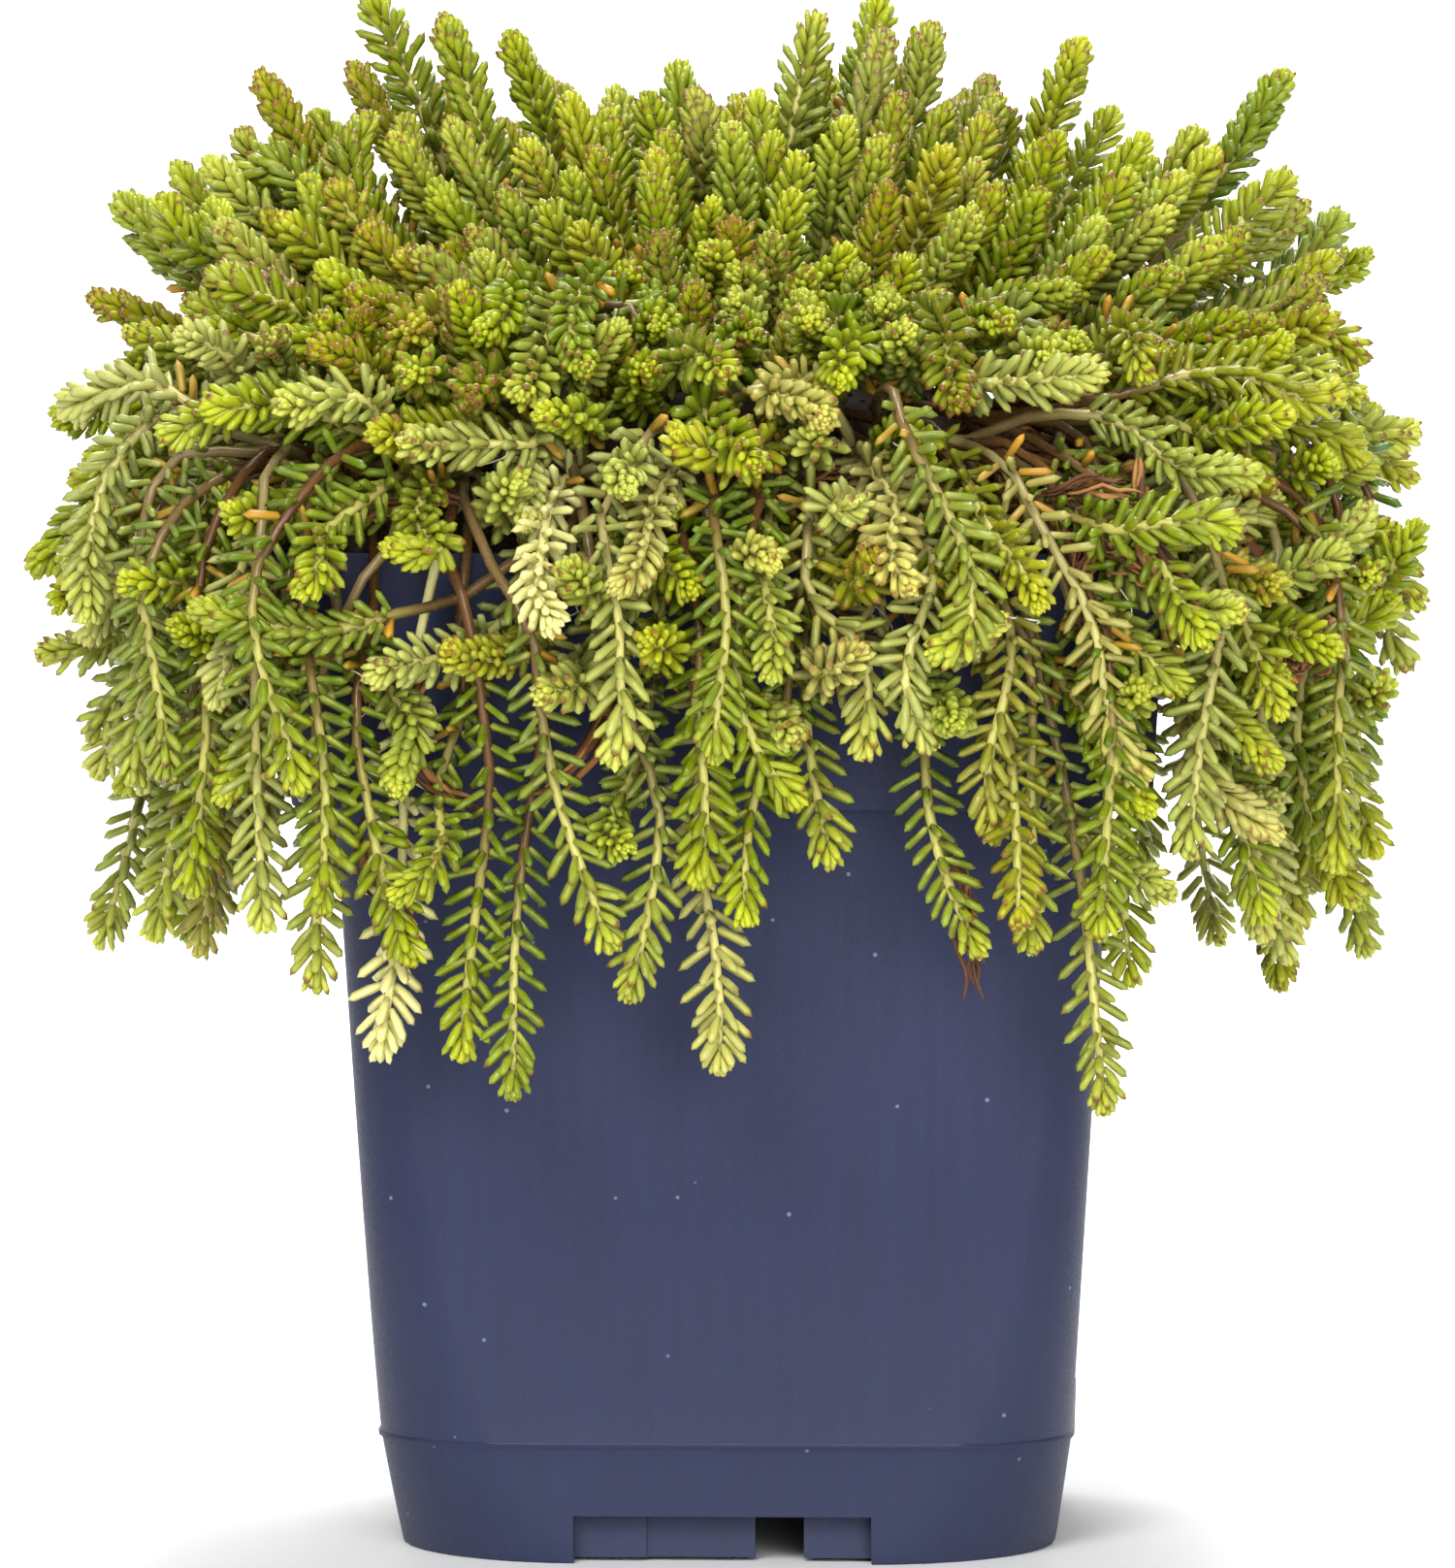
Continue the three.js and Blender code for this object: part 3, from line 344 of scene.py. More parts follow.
# Single shoots that branch off the bunches, by their tips.
SIDE_UPRIGHT_TIPS: tuple[Point, ...] = (
    (-50, 22, 186), (-16, 20, 183), (-5, 8, 182), (24, 30, 191), (32, 25, 179), (55, 18, 173),
    (55, -10, 168), (23, -28, 162), (43, -38, 159), (74, -15, 159), (75, -35, 148), (66, -48, 138),
    (86, 5, 134), (-73, 0, 169), (-47, 0, 174), (-55, 8, 171), (-43, 5, 179), (-38, 14, 180),
    (-34, 0, 179), (-37, -20, 162), (-75, -12, 142), (-83, 0, 134), (-76, -30, 129), (-86, -15, 114),
    (-67, 0, 165),
)
SIDE_HANGING_TIPS: tuple[Point, ...] = (
    (-27, -66, 66), (-16, -70, 77), (2, -68, 80), (49, -60, 74), (78, -10, 95), (66, -60, 100),
    (78, -30, 108), (-50, -30, 70), (-74, -30, 100), (-72, -15, 110), (16, -84, 125), (24, -84, 114),
    (31, -84, 107), (59, -70, 125),
)

# Shoots whose colour stands out, by the place of their tip.
TONED_TIPS: dict[Tone, tuple[Point, ...]] = {
    Tone.RED: (
        (-50, 22, 186), (-40, 24, 182), (6, 28, 183), (19, -18, 171), (-23, -20, 170), (-81, -10, 158),
        (-17, -45, 151), (-61, 10, 185), (-76, -30, 129), (91, 5, 134), (39, -78, 81), (16, -85, 125),
        (-74, -30, 100), (-65, -45, 82),
    ),
    Tone.YELLOW: (
        (-62, -40, 144), (-81, -38, 115),
    ),
    Tone.BLUE: (
        (-7, -42, 158), (45, -64, 60), (78, -10, 96),
    ),
    Tone.CREAM: (
        (-24, -66, 60), (-40, -62, 66), (11, -66, 91), (-22, -85, 119),
    ),
}
TONE_REACH = 5.0


@dataclass(frozen=True)
class Room:
    """The room that a habit's shoots keep to themselves, and where their leaves begin."""

    reach: float
    bare: float


ROOMS = {
    Habit.UPRIGHT: Room(reach=4.0, bare=0.46),
    Habit.HANGING: Room(reach=4.2, bare=0.42),
    Habit.SEED_HEAD: Room(reach=2.6, bare=0.9),
    Habit.DRY_CLUMP: Room(reach=4.6, bare=0.8),
}


@dataclass
class Bunch:
    """Shoots that rise from one hole in the soil."""

    name: str
    habit: Habit
    tips: list[Point]
    root: Array = field(default_factory=lambda: np.zeros(2))


@dataclass
class Shoot:
    """One leafy shoot along its line of points."""

    owner: int
    habit: Habit
    line: Array
    look: Look = Look.DENSE
    tone: tuple[float, ...] = Tone.GREEN.value
    near: bool = True
    facing: bool = False


@dataclass
class PlantLayout:
    """Where every shoot runs, by the same rule as the solids, and the side shoots among them."""

    ground: GroundPlan
    samples: int = 14
    rounds: int = 60
    side_rounds: int = 36
    stem_radius: float = 1.5
    root_spacing: float = 6.2
    root_limit: float = 45.0
    full_at: float = 0.35
    hanging_rise: float = 13.0
    dome: tuple[float, float, float] = (192.0, 35.0, 82.0)
    crown_spacing: float = 6.8
    skirt_spacing: float = 8.2
    far_spacing: float = 8.2
    crown_candidates: int = 900
    skirt_candidates: int = 700
    bunches: list[Bunch] = field(default_factory=list)
    shoots: list[Shoot] = field(default_factory=list)

    def far_upright(self) -> list[list[Point]]:
        """Tips of the far upright bunches, placed round the dome."""
        steps = ((87.0, 0.0, 2.0), (60.0, 0.17, 0.0), (76.0, -0.2, 8.0))
        rows = []
        for i in range(7):
            angle = (0.13 + (0.87 - 0.13) * (i + 0.5) / 7) * math.pi
            rows.append([])
            for k, (out, turn, drop) in enumerate(steps):
                reach = out - 4 * ((i + k) % 2)
                z = self.dome_height(reach) - drop - 5 * ((i + 2 * k) % 3)
                rows[-1].append(around(reach, angle + turn, z))
        return rows

    def far_hanging(self) -> list[list[Point]]:
        """Tips of the far hanging bunches, placed round the rim."""
        steps = ((80, 0, 0), (79, 0.17, 17), (79, -0.17, 8), (87, 0.31, 38), (87, -0.09, 46))
        rows = []
        for i in range(5):
            angle = (0.04 + (0.97 - 0.04) * i / 4) * math.pi
            levels = [min(72.0 + rise + 6 * ((i + k) % 2), 122.0) for k, (_, _, rise) in enumerate(steps)]
            rows.append([around(out, angle + turn, z) for (out, turn, _), z in zip(steps, levels)])
        return rows

    def dome_height(self, out: float) -> float:
        """Height of the crown at a distance from the middle."""
        top, fall, reach = self.dome
        return top - fall * (out / reach) ** 4

    def grow(self) -> None:
        """Makes the bunches and all shoots, and lets them press each other apart."""
        rows: list[tuple[Habit, Sequence[Point]]] = []
        rows += [(Habit.UPRIGHT, tips) for tips in UPRIGHT_TIPS]
        rows += [(Habit.UPRIGHT, tips) for tips in self.far_upright()]
        rows += [(Habit.HANGING, tips) for tips in HANGING_TIPS]
        rows += [(Habit.HANGING, tips) for tips in self.far_hanging()]
        rows += [(Habit.SEED_HEAD, [SEED_HEAD_TIP]), (Habit.DRY_CLUMP, [DRY_CLUMP_TIP])]
        counts = {Habit.UPRIGHT: 0, Habit.HANGING: 0}
        for habit, tips in rows:
            name = habit.value
            if habit in counts:
                counts[habit] += 1
                name += f"{counts[habit]:02d}"
            self.bunches.append(Bunch(name, habit, [tuple(map(float, tip)) for tip in tips]))
        self.spread_roots()
        for owner, bunch in enumerate(self.bunches):
            for order, tip in enumerate(bunch.tips):
                x, y = bunch.root
                z = float(self.ground.mound(x, y)) + 1.5 + order * 1.6
                line = self.first_line(np.array([x, y, z]), np.array(tip), bunch.habit)
                self.shoots.append(Shoot(owner, bunch.habit, line))
        self.relax(self.shoots, [], self.rounds)
        main = list(self.shoots)
        side = self.side_shoots(main)
        self.relax(side, main, self.side_rounds)
        self.shoots = main + side
        self.loosen()
        self.characterise()

    def first_root(self, bunch: Bunch) -> Array:
        """Where a bunch comes out of the soil before the roots make room for each other."""
        mean = np.mean(np.array(bunch.tips), axis=0)[:2]
        far = float(np.hypot(*mean))
        if bunch.habit is Habit.HANGING:
            return mean * 43 / max(abs(mean[0]), abs(mean[1]))
        return mean * min(far * 0.66, 40) / far

    def spread_roots(self) -> None:
        """Moves the roots apart, off the mat and within the pot."""
        roots = np.array([self.first_root(bunch) for bunch in self.bunches])
        for _ in range(200):
            apart = roots[:, None] - roots[None]
            distance = np.linalg.norm(apart, axis=2)
            close = (distance < self.root_spacing) & ~np.eye(len(roots), dtype=bool)
            push = np.where(close, (self.root_spacing - distance) * 0.35, 0)
            roots = roots + (unit(apart) * push[..., None]).sum(axis=1)
            u, v = self.ground.mat_plan(*roots.T)
            in_mat = np.maximum(np.abs(u), np.abs(v)) < 1.55
            roots[in_mat] += np.array([-6.0, 6.0]) * 0.15
            roots = np.clip(roots, -self.root_limit, self.root_limit)
        for bunch, root in zip(self.bunches, roots):
            bunch.root = root

    def first_line(self, start: Array, tip: Array, habit: Habit, slant: float = 0.45) -> Array:
        """The line of a shoot before its neighbours press on it.

        Args:
            start: Where it begins.
            tip: Where it ends.
            habit: How it grows.
            slant: How far its tip leans outward.

        Returns:
            Points from start to tip.
        """
        flat = np.array([tip[0] - start[0], tip[1] - start[1], 0.0])
        span = float(np.linalg.norm(tip - start))
        out = unit(flat)
        if habit in (Habit.HANGING, Habit.DRY_CLUMP):
            rise = self.ground.pot.height + self.hanging_rise
            over = np.array([tip[0], tip[1], max(rise, tip[2] + span * 0.5)]) + out * 5
            first = np.array([start[0] + out[0] * 6, start[1] + out[1] * 6, rise + 4])
            controls = np.array([start, first, over, tip])
        else:
            lean = flat * 0.2 + np.array([0, 0, span * 0.42])
            up = unit(out * slant + UP)
            controls = np.array([start, start + lean, tip - up * span * 0.36, tip])
        return self.cubic(controls)

    def side_shoots(self, main: list[Shoot]) -> list[Shoot]:
        """Shoots that branch off the main ones: those listed, then those that fill bare places.

        Args:
            main: Shoots already in place.

        Returns:
            The side shoots on their first lines.
        """
        rng = np.random.default_rng(9)
        rows = [(Habit.UPRIGHT, tip) for tip in SIDE_UPRIGHT_TIPS]
        rows += [(Habit.HANGING, tip) for tip in SIDE_HANGING_TIPS]
        tips = {habit: [s.line[-1] for s in main if s.habit is habit] for habit in Habit}
        for habit, tip in rows:
            tips[habit].append(np.array(tip, float))
        rows += [(Habit.UPRIGHT, tip) for tip in self.crown_fill(tips[Habit.UPRIGHT])]
        rows += [(Habit.HANGING, tip) for tip in self.skirt_fill(tips[Habit.HANGING])]
        side = []
        for habit, tip in rows:
            kin = [shoot for shoot in main if shoot.habit is habit]
            kin.sort(key=lambda shoot: float(np.linalg.norm(shoot.line[-1] - np.array(tip))))
            parent = kin[int(rng.integers(3)) if habit is Habit.HANGING else 0]
            start = parent.line[2 if habit is Habit.UPRIGHT else 3]
            facing = habit is Habit.HANGING and rng.random() < (tip[2] - 70) / 50
            if facing:
                line = self.facing_line(start, np.array(tip, float), rng)
            else:
                line = self.first_line(start, np.array(tip, float), habit, 0.12)
            side.append(Shoot(parent.owner, habit, line, facing=facing))
        return side

    def facing_line(self, start: Array, tip: Array, rng: np.random.Generator) -> Array:
        """The line of a shoot that comes over the rim and then turns outward to the light.

        Args:
            start: Where it begins.
            tip: Where it ends.
            rng: Source of its slant.

        Returns:
            Points from start to tip.
        """
        out = outward(tip)
        aside = np.cross(out, UP)
        aim = unit(out + aside * rng.normal(0, 0.55) + np.array([0, 0, rng.uniform(-0.5, 0.6)]))
        rise = max(self.ground.pot.height + 9, tip[2] + 4)
        first = np.array([start[0] + out[0] * 12, start[1] + out[1] * 12, rise])
        controls = np.array([start, first, tip - aim * 17, tip])
        return self.cubic(controls)

    def cubic(self, controls: Array) -> Array:
        """Samples of the smooth curve that four control points give."""
        t = np.linspace(0, 1, self.samples)[:, None]
        s = 1 - t
        return np.hstack([s**3, 3 * s * s * t, 3 * s * t * t, t**3]) @ controls

    def loosen(self) -> None:
        """Gives hanging shoots the small waves and the upturned tips of free growth."""
        rng = np.random.default_rng(13)
        k = np.arange(self.samples)
        for shoot in self.shoots:
            if shoot.habit is not Habit.HANGING:
                continue
            tip = shoot.line[-1]
            out = outward(tip)
            aside = np.cross(out, UP)
            wave = np.sin(k * rng.uniform(0.7, 1.1) + rng.uniform(0, 6.3)) * np.clip((k - 5) / 4, 0, 1)
            curl = np.clip((k - 8) / 5, 0, 1) ** 2
            room = float(np.clip((88 - math.hypot(tip[0], tip[1])) / 10, 0.15, 1))
            turn = out * 0.8 * room + np.array([0, 0, 0.7]) + aside * rng.normal(0, 0.8)
            shoot.line = shoot.line + aside * (wave * rng.uniform(0.6, 1.8))[:, None]
            shoot.line = shoot.line + turn * (curl * rng.uniform(0.5, 5.5))[:, None]

    def crown_fill(self, tips: list[Array]) -> list[Point]:
        """Tips that fill the crown wherever none is near, as high as their neighbours.

        Args:
            tips: Upright tips already there. The new ones are added to them.

        Returns:
            The new tips.
        """
        rng = np.random.default_rng(5)
        added = []
        for i in range(self.crown_candidates):
            out = math.sqrt((i + 0.5) / self.crown_candidates)
            x = 84 * out * math.cos(i * GOLDEN_ANGLE)
            y = 2 + 80 * out * math.sin(i * GOLDEN_ANGLE)
            u, v = self.ground.mat_plan(x, y)
            if abs(u) < 1.3 and abs(v) < 1.5:
                continue
            known = np.array(tips)
            flat = np.linalg.norm(known[:, :2] - np.array([x, y]), axis=1)
            if flat.min() < (self.crown_spacing if y < 20 else self.far_spacing):
                continue
            nearest = np.argsort(flat)[:4]
            weights = 1 / flat[nearest] ** 2
            z = float((known[nearest, 2] * weights).sum() / weights.sum()) - rng.uniform(0.5, 4.5)
            tips.append(np.array([x, y, z]))
            added.append((x, y, z))
        return added

    def skirt_fill(self, tips: list[Array]) -> list[Point]:
        """Tips that fill the skirt round the pot wherever none is near.

        Args:
            tips: Hanging tips already there. The new ones are added to them.

        Returns:
            The new tips.
        """
        rng = np.random.default_rng(8)
        added = []
        for i in range(self.skirt_candidates):
            angle = i * GOLDEN_ANGLE
            z = 68 + 76 * ((i * 0.7548776662) % 1.0) ** 0.75
            cos, sin = math.cos(angle), math.sin(angle)
            wall = 56 / max(abs(cos), abs(sin))
            out = min(wall + rng.uniform(9, 13) + 14 * (z - 62) / 62, 86)
            if z > 126:
                out = rng.uniform(wall + 4, 85)
            place = np.array([out * cos, out * sin, z])
            if self.in_window(place):
                continue
            if float(self.ground.pot.distance(place[None])[0]) < 6:
                continue
            spacing = self.skirt_spacing if place[1] < -20 else self.far_spacing + 2
            if np.linalg.norm(np.array(tips) - place, axis=1).min() < spacing:
                continue
            tips.append(place)
            added.append(tuple(place))
        return added

    @staticmethod
    def in_window(place: Array) -> bool:
        """Whether a tip would cover what shows at the front between the hanging shoots."""
        x, y, z = place
        if y > -50:
            return False
        low = 72.0 if x < -5 else 78.0
        hole = -31 < x < -17 and z < 114
        collar = 9 < x < 28 and z < 101
        mat = 38 < x < 60 and 117 < z < 152
        return z < low or hole or collar or mat

    def reaches(self, shoots: list[Shoot]) -> Array:
        """The room that every sample of every shoot wants."""
        swell = np.clip(np.arange(self.samples) / (self.samples - 1) / self.full_at, 0, 1)
        full = np.array([ROOMS[shoot.habit].reach for shoot in shoots])
        return self.stem_radius + (full[:, None] - self.stem_radius) * swell[None]

    def relax(self, moving: list[Shoot], still: list[Shoot], rounds: int) -> None:
        """Lets shoots press each other apart and stay off the soil and the pot.

        Args:
            moving: Shoots that give way, whose lines are changed.
            still: Shoots that stay where they are.
            rounds: How many small moves are made.
        """
        shoots = moving + still
        count = len(moving) * self.samples
        lines = np.array([shoot.line for shoot in shoots])
        reach = self.reaches(shoots).ravel()
        index = np.repeat(np.arange(len(shoots)), self.samples)
        owner = np.array([shoot.owner for shoot in shoots])[index]
        sample = np.tile(np.arange(self.samples), len(shoots))
        kin = owner[:count, None] == owner[None]
        wanted = (reach[:count, None] + reach[None]) * np.where(kin, 0.8, 0.97)
        early = kin & (sample[:count, None] < 5) & (sample[None] < 5)
        wanted[early | (index[:count, None] == index[None])] = 0
        wanted_square = wanted**2
        free = np.select([sample == 0, sample < 2], [0.0, 0.3], 1.0)[:count, None]
        for _ in range(rounds):
            flat = lines.reshape(-1, 3)
            square = (flat**2).sum(axis=1)
            gap = square[:count, None] + square[None] - 2 * flat[:count] @ flat.T
            a, b = np.nonzero(gap < wanted_square)
            apart = flat[a] - flat[b]
            distance = np.maximum(np.linalg.norm(apart, axis=1), 1e-6)
            push = np.maximum(wanted[a, b] - distance, 0) / distance * 0.25
            moves = np.zeros((count, 3))
            np.add.at(moves, a, apart * push[:, None])
            size = np.maximum(np.linalg.norm(moves, axis=1, keepdims=True), 1e-9)
            moves *= np.minimum(1.2 / size, 1.0)
            places = flat[:count] + moves * free
            places[free[:, 0] > 0] = self.keep_clear(places, reach[:count], sample[:count])[free[:, 0] > 0]
            lines[: len(moving)] = places.reshape(len(moving), self.samples, 3)
            for k in range(1, self.samples - 1):
                middle = (lines[: len(moving), k - 1] + lines[: len(moving), k + 1]) / 2
                lines[: len(moving), k] += (middle - lines[: len(moving), k]) * 0.22
        for shoot, line in zip(moving, lines):
            shoot.line = line

    def keep_clear(self, places: Array, reach: Array, sample: Array) -> Array:
        """Lifts points off the ground and pushes them off the pot.

        Args:
            places: Points, one to a row.
            reach: Room wanted at each.
            sample: Place of each along its shoot.

        Returns:
            The points where they may be.
        """
        ground, pot = self.ground, self.ground.pot
        moved = places.copy()
        widest = np.maximum(np.abs(moved[:, 0]), np.abs(moved[:, 1]))
        low = ground.height(moved[:, 0], moved[:, 1]) + np.where(sample < 3, 1, reach * 0.9 + 0.8)
        lift = (widest < pot.rim_half + 2) & (moved[:, 2] < low)
        moved[lift, 2] += (low - moved[:, 2])[lift] * 0.6
        room = reach + 0.6
        distance = pot.distance(moved)
        near = (widest > pot.rim_half - 8) & (distance < room)
        step = 0.5 * np.eye(3)
        slope = np.stack([pot.distance(moved + e) - pot.distance(moved - e) for e in step], axis=1)
        moved[near] += (unit(slope) * ((room - distance) * 0.7)[:, None])[near]
        return moved

    def characterise(self) -> None:
        """Gives each shoot its look, its tone and how finely it is made."""
        rng = np.random.default_rng(11)
        for shoot in self.shoots:
            x, y, z = shoot.line[-1]
            if shoot.habit is Habit.HANGING:
                shoot.look = Look.TRAILING if z < 112 else Look.OPEN
                if shoot.facing:
                    shoot.look = Look.DENSE if rng.random() < 0.35 else Look.OPEN
            elif shoot.habit is Habit.UPRIGHT:
                shoot.look = Look.OPEN if z < 150 or rng.random() < 0.18 else Look.DENSE
            pale, red, dry, blue = (rng.random() ** power for power in (3.0, 1.5, 6.0, 4.0))
            hanging = shoot.habit is Habit.HANGING
            paleness, redness = (0.5, 0.35) if hanging else (0.2, 0.9)
            shoot.tone = (pale * paleness, red * redness, dry * 0.2, blue * 0.25)
            shoot.near = y < 12
        tips = np.array([shoot.line[-1] for shoot in self.shoots])
        for tone, places in TONED_TIPS.items():
            for place in places:
                distance = np.linalg.norm(tips - np.array(place), axis=1)
                if distance.min() < TONE_REACH:
                    self.shoots[int(distance.argmin())].tone = tone.value


@dataclass(frozen=True)
class LeafPlan:
    """How leaves follow each other down a shoot, given at the distances DOWN from its tip."""

    leafy: float
    spacing: tuple[float, ...]
    angle: tuple[float, ...]
    length: tuple[float, ...]
    width: tuple[float, ...]
    stem: float


DOWN = (0.0, 1.0, 3.0, 8.0, 16.0, 30.0)
WHORL = 3
LEAF_PLANS = {
    Look.DENSE: LeafPlan(
        leafy=25.0,
        spacing=(0.35, 0.5, 0.6, 0.75, 1.1, 1.5),
        angle=(9, 27, 38, 47, 54, 62),
        length=(1.5, 2.5, 3.3, 3.7, 3.8, 3.6),
        width=(0.75, 1.0, 1.25, 1.42, 1.45, 1.3),
        stem=0.66,
    ),
    Look.OPEN: LeafPlan(
        leafy=36.0,
        spacing=(0.4, 0.6, 0.85, 1.2, 1.6, 2.3),
        angle=(10, 28, 42, 52, 60, 68),
        length=(1.6, 2.8, 3.8, 4.3, 4.4, 4.1),
        width=(0.75, 1.0, 1.25, 1.42, 1.45, 1.35),
        stem=0.62,
    ),
    Look.TRAILING: LeafPlan(
        leafy=46.0,
        spacing=(0.4, 0.75, 1.2, 1.8, 2.3, 2.6),
        angle=(12, 30, 44, 54, 62, 68),
        length=(1.6, 2.7, 3.9, 4.6, 4.8, 4.7),
        width=(0.75, 1.0, 1.25, 1.4, 1.42, 1.35),
        stem=0.6,
    ),
}


@dataclass(frozen=True)
class Blank:
    """A small closed shape that is modelled once and copied."""

    points: Array
    faces: Array


class Bench:
    """Handwork in edit mode, with what is worked on picked by its place."""

    @staticmethod
    def clear() -> None:
        """Deselects everything, so that an operator acts on the new piece alone."""
        if bpy.context.object and bpy.context.object.mode != "OBJECT":
            bpy.ops.object.mode_set(mode="OBJECT")
        bpy.ops.object.select_all(action="DESELECT")

    @staticmethod
    def alone(piece: Piece) -> None:
        """Makes a piece the active one and the only one selected."""
        Bench.clear()
        bpy.context.view_layer.objects.active = piece
        piece.select_set(True)

    @staticmethod
    def pick(test: Callable[[Vector], bool]) -> None:
        """Selects the vertices of the edited mesh whose places pass a test."""
        mesh = bpy.context.edit_object.data
        work = bmesh.from_edit_mesh(mesh)
        for vertex in work.verts:
            vertex.select = test(vertex.co)
        work.select_flush_mode()
        bmesh.update_edit_mesh(mesh)

    @staticmethod
    def turn_out() -> None:
        """Turns every face of the edited mesh outward, and leaves all of it selected."""
        bpy.ops.mesh.select_all(action="SELECT")
        bpy.ops.mesh.normals_make_consistent(inside=False)

    @staticmethod
    def paint(piece: Piece, material: Material) -> None:
        """Gives a piece one finish in place of any that it has."""
        piece.data.materials.clear()
        piece.data.materials.append(material)

    @staticmethod
    def edit(piece: Piece) -> None:
        """Opens a piece in edit mode with vertices shown for selection."""
        Bench.alone(piece)
        bpy.ops.object.mode_set(mode="EDIT")
        bpy.ops.mesh.select_mode(type="VERT")

    @staticmethod
    def close() -> None:
        """Leaves edit mode."""
        bpy.ops.object.mode_set(mode="OBJECT")

    @staticmethod
    def apply(piece: Piece, modifier: bpy.types.Modifier) -> None:
        """Applies one modifier of a piece."""
        Bench.alone(piece)
        bpy.ops.object.modifier_apply(modifier=modifier.name)

    @staticmethod
    def take(name: str) -> Piece:
        """Names the piece that was just added and returns it."""
        piece = bpy.context.object
        piece.name = name
        piece.data.name = name
        return piece

    @staticmethod
    def settle(piece: Piece) -> None:
        """Puts a piece's place, turn and scale into its mesh."""
        Bench.alone(piece)
        bpy.ops.object.transform_apply(location=True, rotation=True, scale=True)

    @staticmethod
    def blank(piece: Piece) -> Blank:
        """Reads a finished shape as triangles and removes its object.

        Args:
            piece: The shape's object.

        Returns:
            The shape as arrays.
        """
        Bench.edit(piece)
        Bench.turn_out()
        bpy.ops.mesh.quads_convert_to_tris()
        Bench.close()
        mesh = piece.data
        points = np.array([vertex.co[:] for vertex in mesh.vertices])
        faces = np.array([face.vertices[:] for face in mesh.polygons])
        bpy.data.objects.remove(piece)
        bpy.data.meshes.remove(mesh)
        return Blank(points, faces)


def laid_along(
    blank: Blank, base: Array, axis: Array, flank: Array, length: Array, width: Array, flat: float = 1.0
) -> Array:
    """Lays copies of a blank along their axes.

    Args:
        blank: The shape.
        base: Where each copy starts.
        axis: Which way each points.
        flank: Which way each is wide.
        length: Length of each.
        width: Width of each.
        flat: Thickness as a share of the width.

    Returns:
        Vertices, copies by vertices by three.
    """
    x, y, z = blank.points.T
    inner = np.cross(axis, flank)
    return (
        base[:, None]
        + axis[:, None] * (z[None] * length[:, None])[..., None]
        + flank[:, None] * (x[None] * width[:, None])[..., None]
        + inner[:, None] * (y[None] * width[:, None] * flat)[..., None]
    )


def leaf_rows(
    along: Array, age: object = 0.0, chance: object = 0.0, is_leaf: float = 0.0, copies: int = 1
) -> Array:
    """Colour data of copies of a blank.

    Args:
        along: Place of each vertex along the blank.
        age: Age of the leaf or stem there.
        chance: A number from 0 to 1 that varies its colour.
        is_leaf: 1 on a leaf and 0 on a stem.
        copies: How many copies there are.

    Returns:
        Data, copies by vertices by four.
    """
    data = np.zeros((copies, len(along), 4))
    for channel, value in enumerate((along, age, chance, is_leaf)):
        data[..., channel] = value
    return data


@dataclass
class BlankShop:
    """Models the leaf, the stem, the crumb and the seed husk that are copied."""

    leaf_bend: float = 0.34
    full_rings: tuple[tuple[float, float], ...] = ((0.05, 0.34), (0.45, 0.5), (0.84, 0.44))
    plain_rings: tuple[tuple[float, float], ...] = ((0.12, 0.42), (0.8, 0.47))

    def leaf(self, sides: int, rings: tuple[tuple[float, float], ...]) -> Blank:
        """A plump, blunt leaf of length 1 along Z and width 1, with its inner side towards +Y.

        Args:
            sides: How many sides it has round.
            rings: Place along it and radius of each ring of vertices.

        Returns:
            The leaf.
        """
        Bench.clear()
        count = len(rings) + 1
        bpy.ops.mesh.primitive_uv_sphere_add(segments=sides, ring_count=count, radius=0.5)
        piece = Bench.take("leaf_blank")
        Bench.edit(piece)
        moves = [(-0.5, 0.0, 1.0)]
        for k, (along, radius) in enumerate(rings, start=1):
            turn = math.pi * k / count
            moves.append((-0.5 * math.cos(turn), along, radius / (0.5 * math.sin(turn))))
        moves.append((0.5, 1.0, 1.0))
        for z, along, factor in reversed(moves):
            Bench.pick(lambda co, z=z: abs(co.z - z) < 0.01)
            bpy.ops.transform.resize(value=(factor, factor, 1), center_override=(0, 0, z))
            bend = self.leaf_bend * along * along
            bpy.ops.transform.translate(value=(0, bend, along - z + 10))
        bpy.ops.mesh.select_all(action="SELECT")
        bpy.ops.transform.translate(value=(0, 0, -10))
        Bench.close()
        return Bench.blank(piece)

    def stem(self, sides: int, steps: int) -> Blank:
        """A straight stem of radius 1 from z = 0 to 1, closed at both ends.

        Args:
            sides: How many sides it has round.
            steps: How many lengths it is divided in.

        Returns:
            The stem.
        """
        Bench.clear()
        bpy.ops.mesh.primitive_cylinder_add(
            vertices=sides, radius=1, depth=1, end_fill_type="TRIFAN", location=(0, 0, 0.5)
        )
        piece = Bench.take("stem_blank")
        Bench.settle(piece)
        Bench.edit(piece)
        work = bmesh.from_edit_mesh(piece.data)
        for edge in work.edges:
            edge.select = abs(edge.verts[0].co.z - edge.verts[1].co.z) > 0.5
        bmesh.update_edit_mesh(piece.data)
        bpy.ops.mesh.subdivide(number_cuts=steps - 1)
        Bench.close()
        return Bench.blank(piece)

    def crumb(self) -> Blank:
        """A lump of soil of radius 1, rough rather than round."""
        Bench.clear()
        bpy.ops.mesh.primitive_ico_sphere_add(subdivisions=1, radius=1)
        piece = Bench.take("crumb_blank")
        Bench.edit(piece)
        bpy.ops.mesh.select_all(action="SELECT")
        bpy.ops.transform.vertex_random(offset=0.35, seed=3)
        Bench.close()
        return Bench.blank(piece)


